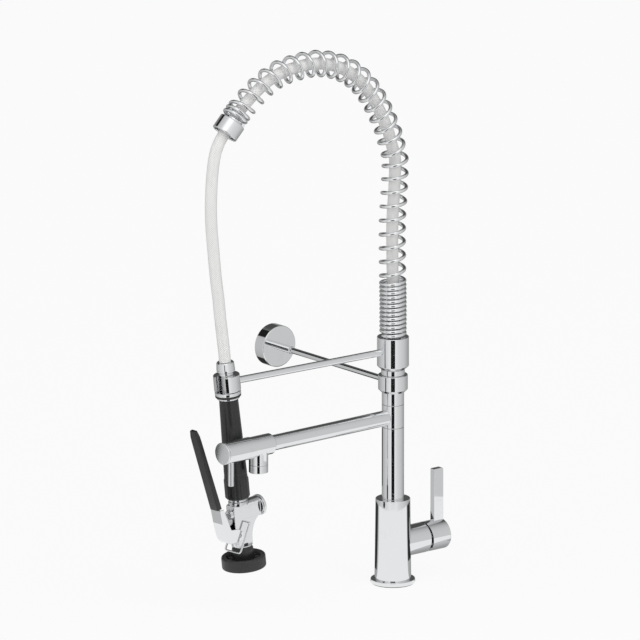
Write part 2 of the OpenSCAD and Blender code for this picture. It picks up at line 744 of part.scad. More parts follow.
// Holder cup, open at its outer side so that the gun's neck slips in
module gun_holder() {
    color("silver") holder_frame() difference() {
        up(holder_s0) bar(holder_d, holder_h, 1);
        up(holder_s0 - eps) cylinder(r = holder_bore_r, h = holder_h + 2 * eps);
        rotate([0, 0, slot_turn]) translate([-holder_d, -slot_w / 2, holder_s0 - eps])
            cube([holder_d, slot_w, holder_h + 2 * eps]);
        up(holder_mid_s) rotate([0, gun_tilt, 0]) rotate([0, 90 - rod_slope, 0])
            up(rod_socket) cylinder(d = arm_rod_d + 2 * fit, h = 20);
    }
}

module balance_spring() {
    color("silver") spray_frame() skin([for (i = [0:len(wire_points) - 1]) wire_ring(i, wire_d / 2, 6)]);
}

// Ferrule with a wide mouth; the spring's last turn rests on it, round a short spigot
module spring_ferrule() {
    end = ARCH[len(ARCH) - 1];
    color("silver") spray_frame() translate(arm_point(end)) rotate([0, ferrule_tilt, 0]) difference() {
        union() {
            bar(ferrule_d, ferrule_len, 2);
            up(ferrule_len / 2) cylinder(r = coil_r - wire_d / 2 - 1.7, h = ferrule_len / 2 + 3);
        }
        up(-eps) cylinder(d = hose_d + 3.6, h = ferrule_len + 4);
        up(-eps) cylinder(r = ferrule_d / 2 - 3.5, h = 10 + eps);
    }
}

// Hose inside the spring, from its tail fitting to the mouth of the ferrule
module guided_hose() {
    marks = [for (i = [0:23]) 6.1 + (arch_len - 6.1) * i / 23];
    color("#d9d9d4") spray_frame() skin(hose_rings(arch_route, marks, hose_d / 2, 10));
}

// Free hose, from the ferrule down to the gun
module drop_hose() {
    color("#d9d9d4") spray_frame()
        skin(hose_rings(drop_route, [for (i = [0:14]) drop_len * i / 14], hose_d / 2, 10));
}

// ---------- spray valve ----------

module hose_nut() {
    color("silver") gun_frame() up(hose_nut_s0) difference() {
        rotate_extrude() polygon([[0, 0], [10, 0], [10, 3.4], [hose_nut_d / 2 - 0.6, 4.2],
            [hose_nut_d / 2, 5], [hose_nut_d / 2 - 0.8, 17], [hose_nut_d / 2 - 1.8, 17.8], [0, 17.8]]);
        up(-eps) cylinder(r = handle_r + fit, h = 9);
        cylinder(r = handle_bore_r, h = 30);
    }
}

module handle_tube() {
    color("gray") gun_frame() up(valve_s1 - 8) difference() {
        cylinder(r = handle_r, h = hose_nut_s0 + 8 - valve_s1 + 8);
        up(-eps) cylinder(r = handle_bore_r, h = 300);
    }
}

module handle_flange() {
    color("silver") gun_frame() up(flange_ring_s0) sleeve(35.4, 2 * (handle_r + fit), flange_ring_h, 1.2);
}

module handle_seal() {
    color("#18181a") gun_frame() up(seal_ring_s0) sleeve(35, 2 * (handle_r + fit), seal_ring_h, 1.2);
}

module grip_ring() {
    color("silver") gun_frame() up(grip_s1) sleeve(31, 2 * (handle_r + fit), grip_ring_h, 0.8);
}

module grip_sleeve() {
    color("#2b2b2d") gun_frame() up(nut_s1) rotate_extrude() polygon([[handle_r + fit, 0],
        [grip_low_d / 2, 0], [grip_low_d / 2, 4], [grip_top_d / 2, grip_len], [handle_r + fit, grip_len]]);
}

module coupling_nut() {
    flutes = 10;
    color("#2b2b2d") gun_frame() up(valve_s1) difference() {
        intersection() {
            rotate_extrude() polygon([[0, 0], [nut_d / 2 - 1.5, 0], [nut_d / 2, 2], [nut_d / 2, nut_h - 5],
                [grip_low_d / 2, nut_h - 1], [grip_low_d / 2, nut_h], [0, nut_h]]);
            cylinder(d = nut_d / cos(180 / flutes) - 0.6, h = nut_h, $fn = flutes);
        }
        up(-eps) cylinder(r = handle_r + fit, h = nut_h + 2 * eps);
    }
}

// Side outline of the valve body: x behind the gun axis, s up the gun axis.
// A quarter ellipse sweeps from the neck up to the underside of the bonnet.
module side_outline() {
    r = barrel_d / 2;
    sweep_x = bonnet_reach - 4;
    sweep_s = 36;
    polygon(concat(
        [[-r + 1, valve_s0], [r - 1, valve_s0]],
        [for (a = [0:15:90]) [sweep_x - (sweep_x - r + 1) * cos(a), sweep_s + 32 * sin(a)]],
        [[sweep_x, valve_s + 9], [-14, valve_s1 - 7.5],
            [-15.4, valve_s1 - 9.5], [-15.4, 58], [-r + 1, 44]]));
}

module valve_body() {
    r = barrel_d / 2;
    color("silver") gun_frame() difference() {
        union() {
            up(valve_s0) bar(barrel_d, valve_s1 - valve_s0 - 4, 0.8);
            up(valve_s1 - 5) cylinder(r = 12, h = 5);
            along_x(-4, valve_s) bar(barrel_d, bonnet_reach, 0.6);
            along_x(-guide_x, valve_s) bar(13, 12, 1);
            translate([0, flats_w / 2, 0]) rotate([90, 0, 0]) linear_extrude(flats_w) side_outline();
        }
        for (side = [-1, 1]) translate([-30, side > 0 ? flats_w / 2 : -flats_w / 2 - 20, valve_s0 + 2])
            cube([40, 20, flats_h]);
        for (side = [-1, 1]) translate([0, side > 0 ? flats_w / 2 : -flats_w / 2 - 20, valve_s0 + 2])
            cube([bonnet_reach - 6, 20, flats_h]);
        along_x(2.5, valve_s) cylinder(r = chamber_bore_r, h = 60);
        along_x(-10, valve_s) cylinder(r = 5, h = 14);
        along_x(-guide_x - eps, valve_s) cylinder(r = stem_r + fit, h = 40);
        translate([6.5, 0, valve_s]) cylinder(r = 4, h = valve_s1 - valve_s - 4);
        up(valve_s1 - 8.2) cylinder(r = handle_r + fit, h = 20);
        translate([-5, 0, valve_s0 - eps]) cylinder(r = 4.5, h = valve_s - valve_s0);
        up(valve_s0 - eps) cylinder(r = 9, h = 5 + eps);
        translate([-pin_x_gun, 0, pin_s]) rotate([90, 0, 0])
            cylinder(r = pin_r + fit, h = 60, center = true);
        for (side = [-1, 1]) translate([-ring_x, side * (flats_w / 2 + 1), ring_s])
            rotate([side * 90, 0, 0]) cylinder(r = ring_wire_d / 2 + fit, h = 4.2);
    }
}

module valve_seat() {
    color("#d8d8d2") gun_frame() along_x(2.6, valve_s) difference() {
        cylinder(r = chamber_bore_r - fit, h = 2.6);
        up(-eps) cylinder(r = 3.4, h = 4);
    }
}

// Screwed cap that closes the valve chamber and backs its spring
module bonnet_cap() {
    color("silver") gun_frame() along_x(bonnet_reach - 4, valve_s) {
        difference() {
            union() {
                bar(barrel_d + 1.5, 4, 0.8);
                up(-8) cylinder(r = chamber_bore_r - fit, h = 9);
            }
            up(2.6) cylinder(d = 8, h = 3, $fn = 6);
            up(-10) cylinder(r = stem_r + 2 * fit, h = 5 + stem_travel);
        }
    }
}

module valve_spring() {
    x0 = 9.6;
    color("gray") gun_frame() along_x(x0, valve_s)
        difference() {
            cylinder(r = chamber_bore_r - 0.5, h = bonnet_reach - 4 - 8 - 0.2 - x0);
            up(-eps) cylinder(r = stem_r + 0.9, h = 60);
        }
}

// Push stem: button in front, poppet behind the seat, tail in the spring
module valve_stem() {
    color("gray") gun_frame() along_x(0, valve_s) {
        up(-stem_tip_x) rotate_extrude() polygon(concat(
            [for (a = [-90:15:0]) [stem_tip_r * cos(a), stem_tip_r * (1 + sin(a))]],
            [[stem_tip_r, stem_tip_r + 1.5], [0, stem_tip_r + 1.5]]));
        up(-stem_tip_x + stem_tip_r) cylinder(r = stem_r, h = stem_tip_x - stem_tip_r + stem_tail_x);
        up(5.3) cylinder(r = 5.2, h = 4.2);
    }
}

module spray_neck() {
    color("#2b2b2d") gun_frame() difference() {
        union() {
            rotate_extrude() polygon([[0, neck_s0], [15.2, neck_s0], [14.5, 15], [14.5, 27],
                [barrel_d / 2 - 0.6, valve_s0], [0, valve_s0]]);
            up(5) cylinder(r = 11, h = neck_s0);
            up(valve_s0 - eps) cylinder(r = 9 - fit, h = 5);
        }
        up(2) cylinder(r = 5, h = 40);
    }
}

// Rubber ring round the spray face, dished on top between radial ribs
module rubber_bumper() {
    r = bumper_d / 2;
    ribs = 12;
    color("#18181a") gun_frame() difference() {
        union() {
            rotate_extrude() polygon(concat([[11.05, 6], [r - 5, 6], [r - 5, 0]],
                quarter(r - 2, 2, 2, -90), quarter(r - 2.5, bumper_h - 2.5, 2.5, 0),
                [[r - 6, bumper_h - 1.5], [r - 8, 10.5], [15.5, neck_s0], [11.05, neck_s0]]));
            for (k = [0:ribs - 1]) rotate([0, 0, 360 * k / ribs]) translate([16, -0.9, 8.5])
                cube([r - 22.5, 1.8, 4.5]);
        }
        up(-eps) cylinder(r = 11.05, h = 40);
    }
}

module spray_face() {
    color("gray") gun_frame() up(1.5) difference() {
        union() {
            cylinder(r = bumper_d / 2 - 5 - fit, h = 2.5);
            cylinder(r = 12, h = 3.3);
        }
        for (row = [1, 2]) for (k = [0:9 * row - 1]) rotate([0, 0, 40 * k / row])
            translate([7.5 * row + 0.5, 0, -1]) cylinder(r = 0.9, h = 10, $fn = 16);
        up(-1) cylinder(r = 2.1, h = 10);
    }
}

module face_screw() {
    color("#b0b0b4") gun_frame() difference() {
        union() {
            up(0.2) bar(7, 1.3, 0.4);
            up(0.5) cylinder(r = 2, h = 4.4);
        }
        translate([-4, -0.5, 0]) cube([8, 1, 0.8]);
    }
}

module pivot_pin() {
    half = ear_in + ear_t + 0.8;
    color("silver") gun_frame() translate([-pin_x_gun, half, pin_s]) rotate([90, 0, 0])
        bar(2 * pin_r, 2 * half, 0.4);
}

// Side outline of the trigger, x in front of the gun axis
module trigger_plate() {
    polygon([[-pin_x_gun + 4, pin_s - 4], [-pin_x_gun + 5, pin_s + 3], [-pin_x_gun + 1, pin_s + 8],
        [-pin_x_gun - 5, pin_s + 10.5], [-24, 60], [-33.8, 92], [-40.7, 92], [-38.5, 72], [-35.8, 55],
        [-33.5, 47], [-29, 42], [-22, 40.5], [-pin_x_gun, pin_s - 7], [-pin_x_gun + 3, pin_s - 6]]);
}

module trigger_channel() {
    outer = ear_in + ear_t;
    color("silver") gun_frame() difference() {
        union() {
            translate([0, outer, 0]) rotate([90, 0, 0]) linear_extrude(2 * outer) trigger_plate();
            trigger_tongue();
        }
        translate([0, ear_in, 0]) rotate([90, 0, 0]) linear_extrude(2 * ear_in)
            polygon([[0, 30], [-20, 30], [-27, 44], [-30.8, 48.5], [-34, 58], [-36.7, 75],
                [-38.4, 93], [0, 93]]);
        translate([-pin_x_gun, 0, pin_s]) rotate([90, 0, 0])
            cylinder(r = pin_r + fit, h = 60, center = true);
    }
}

// Flat steel tongue inside the grip
module trigger_tongue() {
    translate([-grip_x, 0, grip_s0 - 2]) rotate([0, -grip_lean, 0])
        translate([-1.5, -5, -1]) cube([3, 10, 60]);
}

module trigger_grip() {
    t = 7.4;
    w = trigger_w / 2;
    color("#2b2b2d") gun_frame() difference() {
        translate([-grip_x, 0, grip_s0]) rotate([0, -grip_lean, 0]) linear_extrude(trigger_grip_len)
            polygon([[-t / 2, -w + 2], [-t / 2 + 2, -w], [t / 2 - 1.4, -w], [t / 2, -w + 1.4],
                [t / 2, w - 1.4], [t / 2 - 1.4, w], [-t / 2 + 2, w], [-t / 2, w - 2]]);
        trigger_tongue();
    }
}

// Wire ring that swings up over the pressed trigger to hold it open
module hold_ring() {
    r = ring_wire_d / 2;
    foot = [-ring_foot_x, ring_foot_s];
    head = [-ring_x, ring_s];
    drop = foot - head;
    lean = atan2(-drop[0], -drop[1]);
    reach = norm(drop);
    bow = 4;
    color("silver") gun_frame() translate([head[0], 0, head[1]]) rotate([0, lean, 0])
    for (side = [-1, 1]) {
        translate([0, side * (flats_w / 2 - 2.5), 0]) rotate([-side * 90, 0, 0])
            cylinder(r = r, h = ring_half_w - flats_w / 2 + 2.5);
        translate([0, side * ring_half_w, 0]) sphere(r = r);
        translate([0, side * ring_half_w, bow - reach]) cylinder(r = r, h = reach - bow);
        translate([0, side * (ring_half_w - bow), bow - reach]) rotate([0, 90, 0])
            rotate([0, 0, side > 0 ? 0 : -90]) rotate_extrude(angle = 90) translate([bow, 0]) circle(r = r);
        translate([0, 0, -reach]) rotate([-side * 90, 0, 0]) cylinder(r = r, h = ring_half_w - bow);
    }
}

deck_gasket();
deck_flange();
faucet_body();
mixer_cartridge();
cartridge_nut();
dust_ring();
mixer_carrier();
mixer_spindle();
mixer_cap();
mixer_blade();
riser_column();
swivel_spindle();
swivel_seals();
upper_column();
shoulder_spindle();
bracket_collar();
bracket_grub_screw();
bracket_rod();
rod_ferrule();
wall_flange();
wall_plate();
spout_ring();
spout_tube();
spout_housing();
spout_headwork();
spout_aerator();
knob_stem();
spout_knob();
knob_end_cap();
knob_pin_lever();
arm_collar();
arm_grub_screw();
hose_tail();
arm_rod();
gun_holder();
balance_spring();
spring_ferrule();
guided_hose();
drop_hose();
hose_nut();
handle_tube();
handle_flange();
handle_seal();
grip_ring();
grip_sleeve();
coupling_nut();
valve_body();
valve_seat();
bonnet_cap();
valve_spring();
valve_stem();
spray_neck();
rubber_bumper();
spray_face();
face_screw();
pivot_pin();
trigger_channel();
trigger_grip();
hold_ring();
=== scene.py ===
"""Looks of the pre rinse faucet: meshes, finishes, light and camera, on the fixed frame of the CAD model.

Sizes are millimetres in the classes below and become metres where a mesh is made. Each sub-assembly is a
class with its sizes as fields. `main` builds them in order.
"""

from __future__ import annotations

import json
import logging
import math
from collections.abc import Sequence
from dataclasses import dataclass, field
from enum import Enum

import bmesh
import bpy
from mathutils import Matrix, Vector

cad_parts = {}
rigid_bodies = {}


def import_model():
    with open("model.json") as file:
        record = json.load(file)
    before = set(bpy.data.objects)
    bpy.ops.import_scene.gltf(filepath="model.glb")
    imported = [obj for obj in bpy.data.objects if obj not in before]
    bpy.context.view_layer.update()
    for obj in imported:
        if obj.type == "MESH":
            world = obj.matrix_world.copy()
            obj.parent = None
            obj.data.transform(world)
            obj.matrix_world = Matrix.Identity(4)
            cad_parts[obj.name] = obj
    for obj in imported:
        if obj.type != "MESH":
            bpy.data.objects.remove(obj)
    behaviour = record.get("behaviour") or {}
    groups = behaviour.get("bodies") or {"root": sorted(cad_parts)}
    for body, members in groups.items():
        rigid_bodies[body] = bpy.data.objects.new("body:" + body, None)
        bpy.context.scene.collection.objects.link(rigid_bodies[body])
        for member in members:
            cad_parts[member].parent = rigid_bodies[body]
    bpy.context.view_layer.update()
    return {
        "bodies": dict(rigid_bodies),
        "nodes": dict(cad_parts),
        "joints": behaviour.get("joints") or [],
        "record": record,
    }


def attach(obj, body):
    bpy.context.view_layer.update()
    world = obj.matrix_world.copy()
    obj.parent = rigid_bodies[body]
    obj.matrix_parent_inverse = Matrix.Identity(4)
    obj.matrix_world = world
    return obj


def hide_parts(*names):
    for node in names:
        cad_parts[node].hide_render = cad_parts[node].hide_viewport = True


LOG = logging.getLogger("faucet")
MM = 0.001
ROUND_STEPS = 5
NODE_GAP = 180
Point2 = tuple[float, float]
Corner = tuple[float, float, float]
Colour = tuple[float, float, float]


# ---------------------------------------------------------------- places


def turned(degrees: float, axis: str) -> Matrix:
    """Returns a rotation of so many degrees about a main axis."""
    return Matrix.Rotation(math.radians(degrees), 4, axis)


def moved(x: float = 0.0, y: float = 0.0, z: float = 0.0) -> Matrix:
    """Returns a shift in millimetres."""
    return Matrix.Translation((x, y, z))


class Place:
    """Frames of the sub-assemblies, in millimetres. A lathe's axis is the local Z."""

    reach = 237.5
    foot = 57.88006
    lean = 6.0
    deck = Matrix.Identity(4)
    spray = turned(-7, "Z")
    holder = spray @ moved(-reach, 0, foot) @ turned(-lean, "Y")
    gun = holder @ turned(8, "Z")

    @staticmethod
    def along_x(x: float, z: float, base: Matrix = Matrix.Identity(4)) -> Matrix:
        """Returns a frame whose Z runs along +X of base."""
        return base @ moved(x, 0, z) @ turned(90, "Y")

    @staticmethod
    def along_minus_x(x: float, z: float, base: Matrix = Matrix.Identity(4)) -> Matrix:
        """Returns a frame at -x whose Z runs along -X of base."""
        return base @ moved(-x, 0, z) @ turned(-90, "Y")

    @staticmethod
    def along_y(y: float, z: float, x: float = 0.0, base: Matrix = Matrix.Identity(4)) -> Matrix:
        """Returns a frame whose Z runs along +Y of base."""
        return base @ moved(x, y, z) @ turned(-90, "X")


# ---------------------------------------------------------------- outlines and meshes


def soften(corners: Sequence[Corner], loop: bool = False) -> list[Point2]:
    """Rounds the corners of an outline.

    Args:
        corners: Points with the radius of each corner.
        loop: Whether the outline closes on itself.

    Returns:
        The outline's points.
    """
    out: list[Point2] = []
    count = len(corners)
    for i, (x, y, r) in enumerate(corners):
        if r <= 0 or (not loop and i in (0, count - 1)):
            out.append((x, y))
            continue
        here = Vector((x, y))
        back = Vector(corners[i - 1][:2]) - here
        ahead = Vector(corners[(i + 1) % count][:2]) - here
        angle = back.angle(ahead, math.pi)
        reach = min(r / max(math.tan(angle / 2), 1e-6), 0.49 * back.length, 0.49 * ahead.length)
        start, end = here + back.normalized() * reach, here + ahead.normalized() * reach
        for k in range(ROUND_STEPS + 1):
            t = k / ROUND_STEPS
            p = start * (1 - t) ** 2 + here * (2 * t * (1 - t)) + end * t**2
            out.append((p.x, p.y))
    return out


def angles(count: int) -> list[float]:
    """Returns so many equal steps round a circle, in radians."""
    return [2 * math.pi * k / count for k in range(count)]


def circles(*rings: tuple[float, int]) -> list[Point2]:
    """Returns the points of a pattern of circles, each with a radius and a count."""
    return [(r * math.cos(a), r * math.sin(a)) for r, count in rings for a in angles(count)]


def add_object(name: str, data: bpy.types.ID) -> bpy.types.Object:
    """Returns a new object in the scene."""
    obj = bpy.data.objects.new(name, data)
    bpy.context.scene.collection.objects.link(obj)
    return obj


class Shape:
    """Collects closed shells in one mesh."""

    def __init__(self) -> None:
        """Starts an empty mesh."""
        self.bm = bmesh.new()

    def lathe(self, outline: Sequence[Point2], place: Matrix, steps: int = 96, loop: bool = False) -> Shape:
        """Spins an outline round the local Z of place.

        Args:
            outline: Radius and height of each point.
            place: Frame of the axis, in millimetres.
            steps: Facets round the axis.
            loop: Whether the outline closes on itself, as on a ring.

        Returns:
            This shape.
        """
        rings: list[list[bmesh.types.BMVert]] = []
        for r, h in outline:
            if r < 1e-6:
                rings.append([self.bm.verts.new(place @ Vector((0, 0, h)))])
                continue
            rings.append([self.bm.verts.new(place @ Vector((x, y, h))) for x, y in circles((r, steps))])
        pairs = list(zip(rings, rings[1:]))
        if loop:
            pairs.append((rings[-1], rings[0]))
        faces = [f for low, high in pairs for f in self._band(low, high, steps)]
        bmesh.ops.recalc_face_normals(self.bm, faces=faces)
        return self

    def _band(self, low: list, high: list, steps: int) -> list[bmesh.types.BMFace]:
        """Returns new faces between two rings, either of which may be a pole."""
        if len(low) == len(high) == 1:
            return []
        faces = []
        for k in range(steps):
            n = (k + 1) % steps
            corners = (low[k % len(low)], low[n % len(low)], high[n % len(high)], high[k % len(high)])
            faces.append(self.bm.faces.new(list(dict.fromkeys(corners))))
        return faces

    def peg(self, radius: float, height: float, edge: float, place: Matrix, steps: int) -> Shape:
        """Adds a solid cylinder with rounded rims."""
        return self.spin([(0, 0, 0), (radius, 0, edge), (radius, height, edge), (0, height, 0)], place, steps)

    def spin(self, corners: Sequence[Corner], place: Matrix, steps: int) -> Shape:
        """Adds a turned solid, whose outline starts and ends on the axis."""
        return self.lathe(soften(corners), place, steps)

    def ring(self, corners: Sequence[Corner], place: Matrix, steps: int) -> Shape:
        """Adds a turned ring, whose outline closes on itself."""
        return self.lathe(soften(corners, True), place, steps, True)

    def loft(self, rings: Sequence[Sequence[Vector]]) -> Shape:
        """Joins outlines of one length into a closed skin, with both ends filled."""
        rows = [[self.bm.verts.new(p) for p in ring] for ring in rings]
        faces = [self.bm.faces.new(rows[0]), self.bm.faces.new(list(reversed(rows[-1])))]
        for low, high in zip(rows, rows[1:]):
            for k in range(len(low)):
                n = (k + 1) % len(low)
                faces.append(self.bm.faces.new((low[k], high[k], high[n], low[n])))
        bmesh.ops.recalc_face_normals(self.bm, faces=faces)
        return self

    def prism(self, outline: Sequence[Point2], low: float, high: float, place: Matrix) -> Shape:
        """Extrudes an outline in the local XZ plane along the local Y, from low to high."""
        return self.loft([[place @ Vector((x, y, z)) for x, z in outline] for y in (low, high)])

    def block(self, low: Sequence[float], high: Sequence[float], place: Matrix) -> Shape:
        """Adds a box between two corners of place."""
        outline = [(low[0], low[2]), (high[0], low[2]), (high[0], high[2]), (low[0], high[2])]
        return self.prism(outline, low[1], high[1], place)

    def sweep(self, path: Sequence[Vector], radius: float, sides: int) -> Shape:
        """Runs a round section along a path, with the section kept from twisting.

        Args:
            path: Points in millimetres.
            radius: Radius of the section.
            sides: Facets round the section.

        Returns:
            This shape. Its faces carry a UV map: u along the path, v round it, both in millimetres.
        """
        last = len(path) - 1
        uv = self.bm.loops.layers.uv.verify()
        normal = Vector((0, 0, 1))
        rings, marks, run = [], [], 0.0
        for i, p in enumerate(path):
            behind = path[max(i - 1, 0)]
            tangent = (path[min(i + 1, last)] - behind).normalized()
            if i == 0:
                normal = tangent.orthogonal().normalized()
            normal = (normal - tangent * normal.dot(tangent)).normalized()
            side = tangent.cross(normal)
            run += (p - behind).length
            marks.append(run)
            rings.append([self.bm.verts.new(p + radius * (math.cos(a) * normal + math.sin(a) * side))
                          for a in angles(sides)])
        faces = []
        girth = 2 * math.pi * radius / sides
        for i in range(last):
            for k in range(sides):
                n = (k + 1) % sides
                face = self.bm.faces.new((rings[i][k], rings[i][n], rings[i + 1][n], rings[i + 1][k]))
                spots = ((marks[i], k), (marks[i], k + 1), (marks[i + 1], k + 1), (marks[i + 1], k))
                for corner, (along, step) in zip(face.loops, spots):
                    corner[uv].uv = (along, step * girth)
                faces.append(face)
        faces += [self.bm.faces.new(list(reversed(rings[0]))), self.bm.faces.new(rings[-1])]
        bmesh.ops.recalc_face_normals(self.bm, faces=faces)
        return self

    def object(self, name: str) -> bpy.types.Object:
        """Returns the collected mesh as an object in the scene, in metres, and frees the builder."""
        bmesh.ops.scale(self.bm, vec=(MM, MM, MM), verts=self.bm.verts)
        mesh = bpy.data.meshes.new(name)
        self.bm.to_mesh(mesh)
        self.bm.free()
        return add_object(name, mesh)


class Cut(Enum):
    """What a second shape does to the first."""

    TAKE = "DIFFERENCE"
    JOIN = "UNION"


def settle(obj: bpy.types.Object) -> None:
    """Turns an object's modifiers into its plain mesh."""
    graph = bpy.context.evaluated_depsgraph_get()
    graph.update()
    mesh = bpy.data.meshes.new_from_object(obj.evaluated_get(graph))
    obj.modifiers.clear()
    old = obj.data
    obj.data = mesh
    bpy.data.meshes.remove(old)


def modify(obj: bpy.types.Object, kind: str, **settings: object) -> None:
    """Adds a modifier with its own settings."""
    change = obj.modifiers.new(kind.lower(), kind)
    for key, value in settings.items():
        setattr(change, key, value)


def drill(radius: float, height: float, edge: float, place: Matrix, steps: int) -> tuple[Cut, Shape]:
    """Returns the step that cuts a round hole."""
    return Cut.TAKE, Shape().peg(radius, height, edge, place, steps)


def work(obj: bpy.types.Object, *steps: tuple[Cut, Shape]) -> None:
    """Joins other shapes to an object or cuts them out of it.

    Args:
        obj: The object that is changed. It keeps a plain mesh.
        steps: What to do, with the shape to do it with.
    """
    for cut, shape in steps:
        tool = shape.object(obj.name + "_tool")
        modify(obj, "BOOLEAN", operation=cut.value, object=tool, solver="EXACT")
        settle(obj)
        bpy.data.objects.remove(tool)


def smooth_over(obj: bpy.types.Object, angle: float) -> None:
    """Shades an object smooth, with sharp edges past an angle in degrees, led by its large faces."""
    obj.data.shade_smooth()
    obj.data.set_sharp_from_angle(angle=math.radians(angle))
    modify(obj, "WEIGHTED_NORMAL", keep_sharp=True)
    settle(obj)


def ease_edges(obj: bpy.types.Object, width: float, angle: float = 40.0) -> None:
    """Gives the edges of an object that are sharper than an angle a small round, in millimetres."""
    modify(obj, "BEVEL", width=width * MM, segments=3, limit_method="ANGLE", angle_limit=math.radians(angle),
           use_clamp_overlap=True)
    settle(obj)


def melt(obj: bpy.types.Object, grid: float, rounds: int) -> None:
    """Turns joined solids into one cast skin with soft inner and outer corners.

    Args:
        obj: The object, whose mesh is replaced.
        grid: Size of the grid in millimetres.
        rounds: How often the skin is relaxed.
    """
    modify(obj, "REMESH", mode="VOXEL", voxel_size=grid * MM)
    modify(obj, "SMOOTH", factor=0.5, iterations=rounds)
    settle(obj)


# ---------------------------------------------------------------- shader groups


SOCKETS = {int: "NodeSocketInt", float: "NodeSocketFloat", tuple: "NodeSocketVector",
           type(None): "NodeSocketMaterial"}
ORIGIN = (0.0, 0.0, 0.0)


class NodeKit:
    """Makes nodes in one tree and wires them."""

    def __init__(self, tree: bpy.types.NodeTree) -> None:
        """Works in the given tree."""
        self.tree = tree

    def open(self, inputs: dict[str, object]) -> None:
        """Gives a group's tree its inputs, each of the kind that its default has."""
        for label, default in inputs.items():
            socket = self.tree.interface.new_socket(label, in_out="INPUT", socket_type=SOCKETS[type(default)])
            if default is not None:
                socket.default_value = default

    def add(self, kind: str, feeds: dict | None = None, **settings: object) -> bpy.types.Node:
        """Returns a new node.

        Args:
            kind: Kind of the node.
            feeds: Sockets or values for its inputs, by label or number.
            settings: The node's own settings.
        """
        node = self.tree.nodes.new(kind)
        node.location = (len(self.tree.nodes) * NODE_GAP, 0)
        for key, value in settings.items():
            setattr(node, key, value)
        for key, value in (feeds or {}).items():
            self.put(node.inputs[key], value)
        return node

    def wire(self, source: bpy.types.NodeSocket, target: bpy.types.NodeSocket) -> None:
        """Links two sockets."""
        self.tree.links.new(source, target)

    def put(self, socket: bpy.types.NodeSocket, value: object) -> None:
        """Feeds a socket from another socket, or sets its value."""
        if isinstance(value, bpy.types.NodeSocket):
            self.wire(value, socket)
        else:
            socket.default_value = value

    def math(self, operation: str, *values: object) -> bpy.types.NodeSocket:
        """Returns the result of a math node."""
        return self.add("ShaderNodeMath", dict(enumerate(values)), operation=operation).outputs[0]

    def times(self, first: object, second: object) -> bpy.types.NodeSocket:
        """Returns a product."""
        return self.math("MULTIPLY", first, second)

    def plus(self, first: object, second: object) -> bpy.types.NodeSocket:
        """Returns a sum."""
        return self.math("ADD", first, second)

    def minus(self, first: object, second: object) -> bpy.types.NodeSocket:
        """Returns a difference."""
        return self.math("SUBTRACT", first, second)

    def most(self, first: object, second: object) -> bpy.types.NodeSocket:
        """Returns the larger of two values."""
        return self.math("MAXIMUM", first, second)

    def combine(self, x: object = 0.0, y: object = 0.0, z: object = 0.0) -> bpy.types.NodeSocket:
        """Returns a vector of three values."""
        return self.add("ShaderNodeCombineXYZ", {0: x, 1: y, 2: z}).outputs[0]

    def group(self, tree: bpy.types.NodeTree, **feeds: object) -> bpy.types.Node:
        """Returns a shared group placed in this tree."""
        return self.add("ShaderNodeGroup", feeds, node_tree=tree)

    def relief(self, shader: bpy.types.Node, height: object, strength: float, distance: float) -> None:
        """Gives a shader the bump of a height."""
        bump = self.add("ShaderNodeBump", {"Strength": strength, "Distance": distance, "Height": height})
        self.wire(bump.outputs["Normal"], shader.inputs["Normal"])

    def vector(self, operation: str, *values: object) -> bpy.types.NodeSocket:
        """Returns the result of a vector math node."""
        return self.add("ShaderNodeVectorMath", dict(enumerate(values)), operation=operation).outputs[0]

    def ramp(self, value: object, low: float, high: float, to_low: float = 0.0, to_high: float = 1.0,
             smooth: bool = True) -> bpy.types.NodeSocket:
        """Returns a value carried from one range to another, clamped."""
        node = self.add("ShaderNodeMapRange", {
            "Value": value, "From Min": low, "From Max": high, "To Min": to_low, "To Max": to_high,
        }, interpolation_type="SMOOTHSTEP" if smooth else "LINEAR")
        return node.outputs["Result"]

    def band(self, value: object, low: float, high: float, soft: float) -> bpy.types.NodeSocket:
        """Returns 1 between two values and 0 outside them."""
        return self.times(self.ramp(value, low - soft, low + soft), self.ramp(value, high + soft, high - soft))

    def blend(self, factor: object, first: object, second: object) -> bpy.types.NodeSocket:
        """Returns a colour between two."""
        node = self.add("ShaderNodeMix", data_type="RGBA")
        self.put(node.inputs[0], factor)
        for socket, colour in ((node.inputs[6], first), (node.inputs[7], second)):
            self.put(socket, colour if isinstance(colour, bpy.types.NodeSocket) else (*colour, 1.0))
        return node.outputs[2]

    def noise(self, vector: object, scale: object, detail: float = 2.0,
              rough: float = 0.5) -> bpy.types.NodeSocket:
        """Returns the value of a noise texture."""
        node = self.add("ShaderNodeTexNoise", {
            "Vector": vector, "Scale": scale, "Detail": detail, "Roughness": rough})
        return node.outputs["Fac"]


